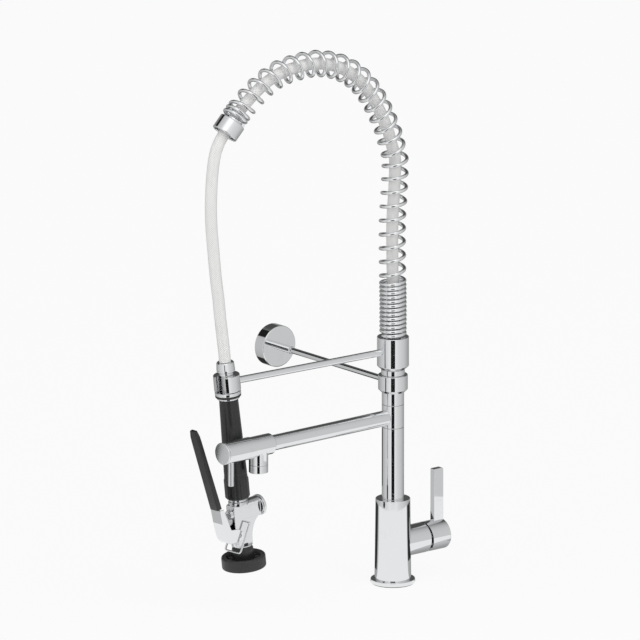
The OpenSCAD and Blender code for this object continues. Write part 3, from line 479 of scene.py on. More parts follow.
class Groups:
    """Node groups that several finishes share, each built once."""

    def __init__(self) -> None:
        """Builds the groups."""
        self.haze = self._haze()
        self.scratches = self._scratches()
        self.grain = self._grain()
        self.braid = self._braid()

    @staticmethod
    def _start(name: str, inputs: dict[str, object],
               *outputs: str) -> tuple[NodeKit, bpy.types.NodeOutputs, bpy.types.NodeInputs]:
        """Makes an empty group with named sockets.

        Args:
            name: Name of the group.
            inputs: Default of each input, by name.
            outputs: Names of the outputs, all plain values.

        Returns:
            A kit for the group, what comes in and what goes out.
        """
        kit = NodeKit(bpy.data.node_groups.new(name, "ShaderNodeTree"))
        kit.open(inputs)
        for label in outputs:
            kit.tree.interface.new_socket(label, in_out="OUTPUT", socket_type="NodeSocketFloat")
        return kit, kit.add("NodeGroupInput").outputs, kit.add("NodeGroupOutput").inputs

    def _haze(self) -> bpy.types.NodeTree:
        """Returns soft patches of handling and dried water, 0 to 1."""
        kit, come, go = self._start("handling_haze", {"Vector": ORIGIN, "Scale": 30.0, "Cover": 0.5}, "Mask")
        broad = kit.noise(come["Vector"], come["Scale"], 4.0, 0.6)
        fine_scale = kit.times(come["Scale"], 7.3)
        fine = kit.noise(come["Vector"], fine_scale, 2.0, 0.5)
        mixed = kit.plus(kit.times(broad, 0.75), kit.times(fine, 0.25))
        low = kit.minus(0.72, kit.times(come["Cover"], 0.35))
        high = kit.plus(low, 0.2)
        kit.wire(kit.ramp(mixed, low, high), go["Mask"])
        return kit.tree

    def _scratches(self) -> bpy.types.NodeTree:
        """Returns hair-fine polishing scratches in two directions, 0 to 1."""
        kit, come, go = self._start("fine_scratches", {"Vector": ORIGIN, "Scale": 900.0, "Density": 0.4}, "Mask")
        total: bpy.types.NodeSocket | None = None
        for turn, stretch in ((0.4, (1.0, 0.03, 0.9)), (-0.7, (0.04, 1.0, 0.5))):
            mapping = kit.add("ShaderNodeMapping", {
                "Vector": come["Vector"], "Rotation": (turn, 0.3 * turn, turn), "Scale": stretch})
            hair = kit.noise(mapping.outputs["Vector"], come["Scale"], 1.0, 0.4)
            edge = kit.minus(0.74, kit.times(come["Density"], 0.12))
            line = kit.ramp(hair, edge, kit.plus(edge, 0.05))
            total = line if total is None else kit.most(total, line)
        kit.wire(total, go["Mask"])
        return kit.tree

    def _grain(self) -> bpy.types.NodeTree:
        """Returns the pebbled height of a spark-eroded mould, and its dust in the hollows."""
        kit, come, go = self._start("moulded_grain", {"Vector": ORIGIN, "Scale": 1800.0}, "Height", "Hollows")
        cells = kit.add("ShaderNodeTexVoronoi", {
            "Vector": come["Vector"], "Scale": come["Scale"]}, feature="SMOOTH_F1")
        rough = kit.noise(come["Vector"], kit.times(come["Scale"], 0.31), 3.0, 0.6)
        height = kit.plus(cells.outputs["Distance"], kit.times(rough, 0.6))
        kit.wire(height, go["Height"])
        kit.wire(kit.ramp(height, 0.75, 0.45), go["Hollows"])
        return kit.tree

    def _braid(self) -> bpy.types.NodeTree:
        """Returns the over-and-under strands of a braid from a map in millimetres."""
        kit, come, go = self._start("hose_braid", {
            "Along": 0.0, "Round": 0.0, "Girth": 47.1, "Strands": 24.0, "Lead": 26.0}, "Height", "Gaps")
        turn = kit.math("DIVIDE", come["Round"], come["Girth"])
        rise = kit.math("DIVIDE", come["Along"], come["Lead"])
        left = kit.times(kit.plus(turn, rise), come["Strands"])
        right = kit.times(kit.minus(turn, rise), come["Strands"])
        waves = [kit.times(kit.plus(kit.math("COSINE", kit.times(s, 2 * math.pi)), 1.0), 0.5)
                 for s in (left, right)]
        over = kit.times(kit.math("SINE", kit.times(left, math.pi)), kit.math("SINE",
                                                                              kit.times(right, math.pi)))
        first = kit.times(waves[0], kit.ramp(over, -0.3, 0.3, 0.45, 1.0))
        second = kit.times(waves[1], kit.ramp(over, 0.3, -0.3, 0.45, 1.0))
        height = kit.most(first, second)
        kit.wire(height, go["Height"])
        kit.wire(kit.ramp(height, 0.42, 0.15), go["Gaps"])
        return kit.tree


# ---------------------------------------------------------------- finishes


@dataclass(frozen=True)
class Finish:
    """A surface finish and the record's material slot that it belongs to."""

    name: str
    slot: str
    colour: Colour
    roughness: float

    def start(self) -> tuple[bpy.types.Material, NodeKit, bpy.types.Node]:
        """Returns a new material, a kit for it and its main shader."""
        material = bpy.data.materials.new(self.name)
        material.use_nodes = True
        material.diffuse_color = (*self.colour, 1.0)
        kit = NodeKit(material.node_tree)
        shader = material.node_tree.nodes["Principled BSDF"]
        shader.inputs["Base Color"].default_value = (*self.colour, 1.0)
        shader.inputs["Roughness"].default_value = self.roughness
        return material, kit, shader

    @staticmethod
    def spot(kit: NodeKit) -> bpy.types.NodeSocket:
        """Returns the object's own coordinates."""
        return kit.add("ShaderNodeTexCoord").outputs["Object"]

    def make(self, groups: Groups) -> bpy.types.Material:
        """Returns the finished material."""
        raise NotImplementedError


@dataclass(frozen=True)
class Plated(Finish):
    """Bright metal: chrome plate, spring wire, brass or steel."""

    haze: float = 0.03
    scratch: float = 0.10
    haze_scale: float = 28.0
    ripple: float = 0.0

    def make(self, groups: Groups) -> bpy.types.Material:
        """Returns metal whose gloss is broken by faint haze and polishing marks."""
        material, kit, shader = self.start()
        spot = self.spot(kit)
        haze = kit.group(groups.haze, Vector=spot, Scale=self.haze_scale, Cover=0.5).outputs["Mask"]
        lines = kit.group(groups.scratches, Vector=spot, Scale=900.0, Density=0.35).outputs["Mask"]
        rough = kit.plus(self.roughness, kit.times(haze, self.haze))
        kit.wire(kit.plus(rough, kit.times(lines, self.scratch)), shader.inputs["Roughness"])
        dull = tuple(0.93 * c for c in self.colour)
        kit.wire(kit.blend(haze, self.colour, dull), shader.inputs["Base Color"])
        shader.inputs["Metallic"].default_value = 1.0
        if self.ripple > 0:
            kit.relief(shader, kit.noise(spot, 260.0, 1.0, 0.4), self.ripple, 0.0001)
        return material


@dataclass(frozen=True)
class Moulded(Finish):
    """Moulded plastic or rubber with a fine grain and a little dust in it."""

    grain_scale: float = 1800.0
    depth: float = 0.25
    dust: Colour = (0.2, 0.2, 0.2)
    dust_share: float = 0.12
    specular: float = 0.5

    def make(self, groups: Groups) -> bpy.types.Material:
        """Returns a grained surface."""
        material, kit, shader = self.start()
        spot = self.spot(kit)
        grain = kit.group(groups.grain, Vector=spot, Scale=self.grain_scale)
        haze = kit.group(groups.haze, Vector=spot, Scale=45.0, Cover=0.6).outputs["Mask"]
        share = kit.times(kit.most(grain.outputs["Hollows"], haze), self.dust_share)
        kit.wire(kit.blend(share, self.colour, self.dust), shader.inputs["Base Color"])
        kit.wire(kit.plus(self.roughness, kit.times(haze, 0.12)), shader.inputs["Roughness"])
        kit.relief(shader, grain.outputs["Height"], self.depth, 0.00005)
        shader.inputs["Specular IOR Level"].default_value = self.specular
        return material


@dataclass(frozen=True)
class Braided(Finish):
    """Clear-covered braid of a hose, which reads the piece's own map in millimetres."""

    shade: Colour = (0.50, 0.50, 0.49)
    strands: float = 16.0
    lead: float = 48.0
    girth: float = 50.3

    def make(self, groups: Groups) -> bpy.types.Material:
        """Returns a pale braid under a glossy clear cover."""
        material, kit, shader = self.start()
        parts = kit.add("ShaderNodeSeparateXYZ", {0: kit.add("ShaderNodeUVMap").outputs["UV"]})
        braid = kit.group(groups.braid, Along=parts.outputs["X"], Round=parts.outputs["Y"], Girth=self.girth,
                          Strands=self.strands, Lead=self.lead)
        haze = kit.group(groups.haze, Vector=self.spot(kit), Scale=60.0, Cover=0.5).outputs["Mask"]
        pale = kit.blend(haze, self.colour, tuple(0.94 * c for c in self.colour))
        kit.wire(kit.blend(kit.times(braid.outputs["Gaps"], 0.75), pale, self.shade),
                 shader.inputs["Base Color"])
        kit.relief(shader, braid.outputs["Height"], 0.6, 0.0003)
        shader.inputs["Coat Weight"].default_value = 0.9
        shader.inputs["Coat Roughness"].default_value = 0.08
        return material


class Surface(Enum):
    """The finishes of this fixture."""

    CHROME = Plated("polished_chrome", "chrome", (0.80, 0.81, 0.82), 0.035, haze=0.025, scratch=0.07,
                    ripple=0.02)
    # Cast chrome is the same plating as polished chrome: its darker colour is painted shade, while its higher
    # roughness and ripple are the cast surface's own.
    SHADED_CAST_CHROME = Plated("shaded_cast_chrome", "chrome", (0.715, 0.725, 0.735), 0.05, haze=0.04, scratch=0.08,
                         ripple=0.05)
    SATIN = Plated("satin_chrome", "chrome", (0.84, 0.85, 0.86), 0.34, haze=0.04, scratch=0.06)
    SPRING = Plated("spring_wire", "spring_steel", (0.84, 0.85, 0.86), 0.05, haze=0.04, scratch=0.12,
                    ripple=0.02)
    STEEL = Plated("plain_steel", "steel", (0.60, 0.60, 0.61), 0.24, haze=0.08, scratch=0.25)
    SCREW = Plated("dark_screw", "screw_steel", (0.24, 0.24, 0.26), 0.30, haze=0.10, scratch=0.2)
    BRASS = Plated("machined_brass", "brass", (0.78, 0.60, 0.30), 0.20, haze=0.10, scratch=0.2)
    PALE_PLASTIC = Moulded("cartridge_plastic", "cartridge_plastic", (0.78, 0.78, 0.74), 0.42,
                           grain_scale=2600.0)
    RUBBER = Moulded("bumper_rubber", "rubber_black", (0.030, 0.030, 0.031), 0.42, grain_scale=1300.0,
                     depth=0.3, dust=(0.14, 0.135, 0.13), dust_share=0.12, specular=0.4)
    GRIP = Moulded("grip_plastic", "grip_black", (0.018, 0.018, 0.019), 0.30, grain_scale=1700.0, depth=0.18,
                   dust=(0.14, 0.14, 0.14), dust_share=0.08)
    HOSE = Braided("hose_cover", "hose_braid", (0.97, 0.97, 0.96), 0.36)


class Dresser:
    """Puts finishes, bodies and stand-ins on pieces."""

    def __init__(self, frame: dict) -> None:
        """Keeps the loaded frame and builds the shared groups."""
        self.frame = frame
        self.groups = Groups()
        self.made: dict[str, bpy.types.Material] = {}
        self.count = 0

    def material(self, surface: Surface) -> bpy.types.Material:
        """Returns a surface's material, made once."""
        if surface.name not in self.made:
            self.made[surface.name] = surface.value.make(self.groups)
        return self.made[surface.name]

    def dress(self, obj: bpy.types.Object, surface: Surface, body: str, *nodes: str,
              angle: float = 32.0) -> None:
        """Finishes a piece: surface, smooth shading, the body that it rides on and the nodes it stands for."""
        obj.data.materials.clear()
        obj.data.materials.append(self.material(surface))
        if obj.type == "MESH":
            smooth_over(obj, angle)
        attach(obj, body)
        if nodes:
            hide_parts(*nodes)
        self.count += 1
        LOG.info("%s rides on %s, %d faces", obj.name, body, len(getattr(obj.data, "polygons", ())))

    def keep(self, surface: Surface, *nodes: str) -> None:
        """Gives CAD nodes whose shape is right a better material."""
        for name in nodes:
            slots = self.frame["nodes"][name].data.materials
            slots.clear()
            slots.append(self.material(surface))
            LOG.info("%s keeps its shape", name)


# ---------------------------------------------------------------- geometry node trees


class GeoKit(NodeKit):
    """A geometry node tree with named inputs, run on one object."""

    def __init__(self, name: str, inputs: dict[str, object]) -> None:
        """Starts a tree.

        Args:
            name: Name of the tree.
            inputs: Default of each input after the geometry, by name.
        """
        super().__init__(bpy.data.node_groups.new(name, "GeometryNodeTree"))
        ends = self.tree.interface
        ends.new_socket("Geometry", in_out="INPUT", socket_type="NodeSocketGeometry")
        self.open(inputs)
        ends.new_socket("Geometry", in_out="OUTPUT", socket_type="NodeSocketGeometry")
        self.come = self.add("NodeGroupInput")
        self.go = self.add("NodeGroupOutput")

    def close(self, geometry: bpy.types.NodeSocket) -> None:
        """Ends the tree in realised instances, smooth shading and the material input."""
        real = self.add("GeometryNodeRealizeInstances", {0: geometry})
        shade = self.add("GeometryNodeSetShadeSmooth", {"Geometry": real.outputs[0], "Shade Smooth": True})
        paint = self.add("GeometryNodeSetMaterial", {
            "Geometry": shade.outputs[0], "Material": self.come.outputs["Material"]})
        self.wire(paint.outputs[0], self.go.inputs[0])

    def run(self, obj: bpy.types.Object, **values: object) -> bpy.types.Object:
        """Runs the tree on an object and returns a plain mesh object in its place.

        Args:
            obj: The object that carries the tree.
            values: Values of the inputs, by label with spaces as underscores.

        Returns:
            A new mesh object.
        """
        modifier = obj.modifiers.new(self.tree.name, "NODES")
        modifier.node_group = self.tree
        wanted = {key.replace("_", " "): value for key, value in values.items()}
        for item in self.tree.interface.items_tree:
            if item.item_type == "SOCKET" and item.in_out == "INPUT" and item.name in wanted:
                modifier[item.identifier] = wanted[item.name]
        graph = bpy.context.evaluated_depsgraph_get()
        graph.update()
        mesh = bpy.data.meshes.new_from_object(obj.evaluated_get(graph))
        obj.modifiers.clear()
        name = obj.name
        bpy.data.objects.remove(obj)
        return add_object(name, mesh)


class RingOfBars(GeoKit):
    """Rounded bars that stand in a ring round an axis: flutes, ribs, knurls."""

    def __init__(self) -> None:
        """Builds the tree."""
        super().__init__("ring_of_bars", {
            "Count": 12, "Ring Radius": 0.01, "Bar Radius": 0.001, "Bar Length": 0.01, "Lean": 0.0, "Flatten": 1.0,
            "Material": None})
        come = self.come.outputs
        circle = self.add("GeometryNodeMeshCircle", {"Vertices": come["Count"], "Radius": come["Ring Radius"]})
        bar = self.add("GeometryNodeMeshCylinder", {
            "Vertices": 12, "Radius": come["Bar Radius"], "Depth": come["Bar Length"]})
        ball = self.add("GeometryNodeMeshUVSphere", {"Segments": 12, "Rings": 6, "Radius": come["Bar Radius"]})
        both = self.add("GeometryNodeJoinGeometry")
        for sign in (-0.5, 0.5):
            lift = self.combine(z=self.times(come["Bar Length"], sign))
            end = self.add("GeometryNodeTransform", {"Geometry": ball.outputs["Mesh"], "Translation": lift})
            self.wire(end.outputs[0], both.inputs[0])
        self.wire(bar.outputs["Mesh"], both.inputs[0])
        lean = self.add("GeometryNodeTransform", {
            "Geometry": both.outputs[0], "Scale": self.combine(come["Flatten"], 1.0, 1.0),
            "Rotation": self.combine(y=come["Lean"])})
        index = self.add("GeometryNodeInputIndex").outputs[0]
        turn = self.math("DIVIDE", self.times(index, 2 * math.pi), come["Count"])
        place = self.add("GeometryNodeInstanceOnPoints", {
            "Points": circle.outputs["Mesh"], "Instance": lean.outputs[0], "Rotation": self.combine(z=turn)})
        self.close(place.outputs[0])

    def build(self, name: str, place: Matrix, material: bpy.types.Material,
              **values: float) -> bpy.types.Object:
        """Returns a ring of bars as a mesh object, moved to its place given in millimetres."""
        made = self.run(add_object(name, bpy.data.meshes.new(name)), Material=material, **values)
        real = place.copy()
        real.translation = place.translation * MM
        made.data.transform(real)
        return made


class WoundWire(GeoKit):
    """A helical spring wound round a route, with close, open and end turns."""

    def __init__(self) -> None:
        """Builds the tree. The geometry that it runs on is the route's curve."""
        super().__init__("wound_wire", {
            "Start": 0.0, "Close Turns": 12.0, "Close Length": 0.07, "Open Turns": 27.0, "Open Length": 0.4,
            "End Turns": 4.0, "End Length": 0.02, "Coil Radius": 0.015, "Wire Radius": 0.002, "Steps": 36,
            "Side": (0.0, 1.0, 0.0), "Material": None})
        come = self.come.outputs
        turns = self.plus(self.plus(come["Close Turns"], come["Open Turns"]), come["End Turns"])
        steps = self.plus(self.times(turns, come["Steps"]), 1.0)
        line = self.add("GeometryNodeCurvePrimitiveLine").outputs[0]
        points = self.add("GeometryNodeResampleCurve", {"Curve": line, "Count": steps}, mode="COUNT")
        index = self.add("GeometryNodeInputIndex").outputs[0]
        share = self.math("DIVIDE", index, self.minus(steps, 1.0))
        turn = self.times(share, turns)
        opened = self.plus(come["Close Turns"], come["Open Turns"])
        along = come["Start"]
        for low, high, length in ((0.0, come["Close Turns"], "Close Length"),
                                  (come["Close Turns"], opened, "Open Length"), (opened, turns, "End Length")):
            along = self.plus(along, self.ramp(turn, low, high, 0.0, come[length], smooth=False))
        sample = self.add("GeometryNodeSampleCurve", {"Curves": come["Geometry"], "Length": along},
                          mode="LENGTH", use_all_curves=True)
        tangent = self.vector("NORMALIZE", sample.outputs["Tangent"])
        normal = self.vector("CROSS_PRODUCT", tangent, come["Side"])
        angle = self.times(turn, 2 * math.pi)
        spot = sample.outputs["Position"]
        for axis, function, sign in ((normal, "COSINE", 1.0), (come["Side"], "SINE", -1.0)):
            amount = self.times(self.math(function, angle), come["Coil Radius"])
            scaled = self.add("ShaderNodeVectorMath", {0: axis, "Scale": self.times(amount, sign)},
                              operation="SCALE")
            spot = self.vector("ADD", spot, scaled.outputs[0])
        place = self.add("GeometryNodeSetPosition", {"Geometry": points.outputs[0], "Position": spot})
        section = self.add("GeometryNodeCurvePrimitiveCircle", {"Resolution": 12,
                                                                "Radius": come["Wire Radius"]})
        tube = self.add("GeometryNodeCurveToMesh", {
            "Curve": place.outputs[0], "Profile Curve": section.outputs[0], "Fill Caps": True})
        self.close(tube.outputs[0])


# ---------------------------------------------------------------- routes


class Route:
    """Smooth routes in the spray arm's plane, the same as in the part's source."""

    arch = ((0, 0), (0, 50), (1, 107), (1, 160), (-2, 205), (-3, 245), (3, 268), (10, 290), (28, 327),
            (49, 357), (73, 377), (98, 389), (128, 395), (160, 393), (184, 388), (208, 376), (232, 358),
            (253.5, 337.5), (269, 318))
    drop = ((269, 318), (274, 311.7), (278.6, 303.7), (282.5, 294.3), (285, 284), (287, 271), (288.5, 256),
            (289.5, 238), (290, 217), (289, 190), (287, 168), (285, 147), (282, 119), (278, 90), (275, 62))
    collar_top = 342.5
    nut_top = 290.4
    lead = 18.0

    @staticmethod
    def smooth(points: Sequence[Point2], steps: int) -> list[Point2]:
        """Returns a curve through the points, with so many steps between two of them."""
        p = [Vector(q) for q in points]
        last = len(p) - 1
        out: list[Point2] = []
        for i in range(last):
            before = 2 * p[0] - p[1] if i == 0 else p[i - 1]
            after = 2 * p[last] - p[last - 1] if i == last - 1 else p[i + 2]
            for k in range(steps):
                t = k / steps
                q = 0.5 * (2 * p[i] + (p[i + 1] - before) * t + (2 * before - 5 * p[i]
                                                                 + 4 * p[i + 1] - after) * t**2
                           + (3 * p[i] - before - 3 * p[i + 1] + after) * t**3)
                out.append((q.x, q.y))
        out.append((p[last].x, p[last].y))
        return out

    @classmethod
    def in_space(cls, points: Sequence[Point2]) -> list[Vector]:
        """Returns plane points as points of the row frame, in millimetres."""
        return [Place.spray @ Vector((-r, 0, cls.collar_top + h)) for r, h in points]

    @classmethod
    def arch_line(cls) -> list[Vector]:
        """Returns the spring's centre line."""
        return cls.in_space(cls.smooth(cls.arch, 8))

    @classmethod
    def drop_line(cls) -> list[Vector]:
        """Returns the free hose's centre line, which ends on the gun's axis."""
        lean = math.radians(Place.lean)
        nut = (Place.reach + cls.nut_top * math.sin(lean),
               Place.foot + cls.nut_top * math.cos(lean) - cls.collar_top)
        before = (nut[0] + cls.lead * math.sin(lean), nut[1] + cls.lead * math.cos(lean))
        return cls.in_space(cls.smooth((*cls.drop, before, nut), 6))

    @staticmethod
    def length(line: Sequence[Vector]) -> float:
        """Returns a line's length."""
        return sum((b - a).length for a, b in zip(line, line[1:]))


# ---------------------------------------------------------------- sub-assemblies


@dataclass
class BaseAndMixer:
    """Base flange, body with its mixer boss, cap and blade."""

    dresser: Dresser
    bars: RingOfBars
    flange_r: float = 30.0
    body_r: float = 24.75
    narrowing: float = 1.35
    body_top: float = 118.0
    gasket: float = 1.2
    mixer_z: float = 54.0
    mixer_r: float = 20.5
    boss: float = 51.5
    cap: float = 85.5
    gap_top: float = 2.0
    gap_low: float = 4.8
    blade: tuple[float, float, float] = (16.0, 8.0, 146.0)

    def build(self) -> None:
        """Makes every piece of the base."""
        self._base()
        self._body()
        self._cap()
        self._blade()
        self.dresser.keep(Surface.RUBBER, "deck_gasket")
        self.dresser.keep(Surface.PALE_PLASTIC, "mixer_cartridge", "mixer_carrier")
        self.dresser.keep(Surface.BRASS, "cartridge_nut")
        self.dresser.keep(Surface.STEEL, "mixer_spindle")

    def _base(self) -> None:
        """Makes the flange, with a fine step round the body, and the mixer's black ring."""
        z = self.gasket
        outline = [(self.body_r + 0.05, 0, 0.1), (self.flange_r, 0, 0.4), (self.flange_r, 5.5, 1.0),
                   (self.body_r + 0.05, 5.5, 0.25)]
        plate = Shape().ring(outline, moved(z=z), 128).object("base_flange")
        self.dresser.dress(plate, Surface.CHROME, "column", "deck_flange")
        groove = [(13.05, 0, 0.1), (16.4, 0, 0.5), (16.4, 2.2, 0.2), (15.6, 2.6, 0.2), (16.4, 3.0, 0.2),
                  (16.4, 5.5, 0.5), (13.05, 5.5, 0.1)]
        ring = Shape().ring(groove, Place.along_x(47, self.mixer_z), 96).object("gap_ring")
        self.dresser.dress(ring, Surface.RUBBER, "column", "dust_ring")

    def _body(self) -> None:
        """Makes the body with its boss, hollow for the cartridge and the column."""
        corners = [(0, self.gasket, 0), (self.body_r, self.gasket, 0.5),
                   (self.body_r - self.narrowing, self.body_top, 0.9), (0, self.body_top, 0)]
        body = Shape().spin(corners, Place.deck, 160).object("mixer_body")
        axis = Place.along_x(0, self.mixer_z)
        work(
            body,
            (Cut.JOIN, Shape().peg(self.mixer_r, self.boss, 0.6, axis, 160)),
            drill(17.0, 60, 0.1, Place.along_x(3, self.mixer_z), 96),
            drill(12.05, 40, 0.1, moved(z=self.body_top - 24), 96),
        )
        supply = ((0, 0), (4.45, 0), (4.45, 31), (3, 31), (3, 47), (0, 47))
        for side in (-9, 9):
            work(body, (Cut.TAKE, Shape().lathe(supply, moved(11, side, -1), 48)))
        work(body, drill(3.4, 27, 0.1, moved(-13, 0, -1), 48))
        self.dresser.dress(body, Surface.CHROME, "column", "faucet_body")

    def _cap(self) -> None:
        """Makes the cap, whose rim is cut on a slant."""
        place = Place.along_x(self.boss, self.mixer_z)
        cap = Shape().peg(self.mixer_r, self.cap - self.boss, 0.9, place, 160).object("mixer_cap_shell")
        rim_top, rim_low, half = self.boss + self.gap_top, self.boss + self.gap_low, self.mixer_r + 1
        z = self.mixer_z
        slant = [(self.boss - 3, z + half), (rim_top, z + half), (rim_low, z - half), (self.boss - 3, z - half)]
        work(
            cap,
            drill(self.mixer_r - 2, 13.5, 0.3, Place.along_x(self.boss - 1, z), 96),
            (Cut.TAKE, Shape().prism(slant, -40, 40, Place.deck)),
            (Cut.TAKE, Shape().block((62, -3.05, z - 3.05), (69, 3.05, z + 3.05), Place.deck)),
        )
        self.dresser.dress(cap, Surface.CHROME, "mixer_handle", "mixer_cap")

    def _blade(self) -> None:
        """Makes the upright blade, set into the cap."""
        width, thick, top = self.blade
        x0, z0 = self.cap - width - 0.2, self.mixer_z + self.mixer_r - 4.1
        outline = soften([(x0, z0, 0.3), (x0 + width, z0, 0.3), (x0 + width, top, 2.5), (x0, top, 1.0)], True)
        blade = Shape().prism(outline, -thick / 2, thick / 2, Place.deck).object("mixer_blade_shell")
        ease_edges(blade, 0.55)
        self.dresser.dress(blade, Surface.CHROME, "mixer_handle", "mixer_blade")


@dataclass
class Column:
    """Column in three lengths and the shoulder that carries the spray arm."""

    dresser: Dresser
    radius: float = 15.0
    body_top: float = 118.0
    ring: tuple[float, float] = (217.3, 248.7)
    upper_top: float = 290.0
    shoulder_top: float = 297.2

    def build(self) -> None:
        """Makes every length of the column."""
        low, high = self.ring
        pieces = (
            ("column_riser", "riser_column", self.radius, self.body_top, low - 0.3, 0.4, 12.0, 24.0),
            ("column_upper", "upper_column", self.radius, high + 0.3, self.upper_top, 0.4, 0.0, 0.0),
            ("column_shoulder", "shoulder_spindle", 16.0, self.upper_top, self.shoulder_top, 0.5, 11.0, 12.5),
        )
        for name, node, radius, z0, z1, edge, spigot, dip in pieces:
            corners = [(0, z0, 0), (radius, z0, edge), (radius, z1, edge), (0, z1, 0)]
            shape = Shape().spin(corners, Place.deck, 128)
            if spigot:
                shape.peg(spigot, dip, 0.3, moved(z=z0 - dip + 0.01), 64)
            if node == "shoulder_spindle":
                shape.peg(11.0, 30.0, 0.5, moved(z=z1 - 0.01), 64)
            self.dresser.dress(shape.object(name), Surface.CHROME, "column", node)
        self.dresser.keep(Surface.BRASS, "swivel_spindle")
        self.dresser.keep(Surface.RUBBER, "swivel_seals")


@dataclass
class WallBracket:
    """Collar on the column, rod and flange on the wall."""

    dresser: Dresser
    z: float = 279.25
    collar: tuple[float, float, float] = (265.8, 289.7, 20.0)
    rod_r: float = 4.0
    wall: float = 255.0
    flange_r: float = 28.5
    flange_t: float = 18.0

    def build(self) -> None:
        """Makes every piece of the bracket."""
        z0, z1, r = self.collar
        outline = [(15.05, z0, 0.1), (15.9, z0, 0.2), (r, z0 + 4, 0.4), (r, z1, 0.9), (15.05, z1, 0.2)]
        collar = Shape().ring(outline, Place.deck, 128).object("bracket_ring")
        work(
            collar,
            drill(self.rod_r + 0.05, 12, 0.1, Place.along_y(14, self.z), 48),
            drill(2.5, 10, 0.1, Place.along_x(14, 277.75), 32),
        )
        self.dresser.dress(collar, Surface.CHROME, "column", "bracket_collar")
        start = 15.2
        rod = Shape().peg(self.rod_r, self.wall - 6 - start, 0.4, Place.along_y(start, self.z), 64)
        self.dresser.dress(rod.object("bracket_bar"), Surface.CHROME, "column", "bracket_rod")
        base = self.wall - self.flange_t
        sleeve = Shape().ring([(4.05, 0, 0.1), (4.9, 0, 0.3), (5.2, 1.2, 0.3), (5.2, 27, 0.2), (4.05, 27, 0.1)],
                              Place.along_y(base - 27, self.z), 64)
        self.dresser.dress(sleeve.object("bracket_sleeve"), Surface.CHROME, "column", "rod_ferrule")
        shell = [(4.05, 0, 0.1), (self.flange_r, 0, 1.7), (self.flange_r, self.flange_t, 0.3),
                 (self.flange_r - 2, self.flange_t, 0.2), (self.flange_r - 2, 3, 0.8), (4.05, 3, 0.2)]
        flange = Shape().ring(shell, Place.along_y(base, self.z), 128).object("bracket_flange")
        self.dresser.dress(flange, Surface.CHROME, "column", "wall_flange")
        self.dresser.keep(Surface.STEEL, "wall_plate")
        self.dresser.keep(Surface.SCREW, "bracket_grub_screw")


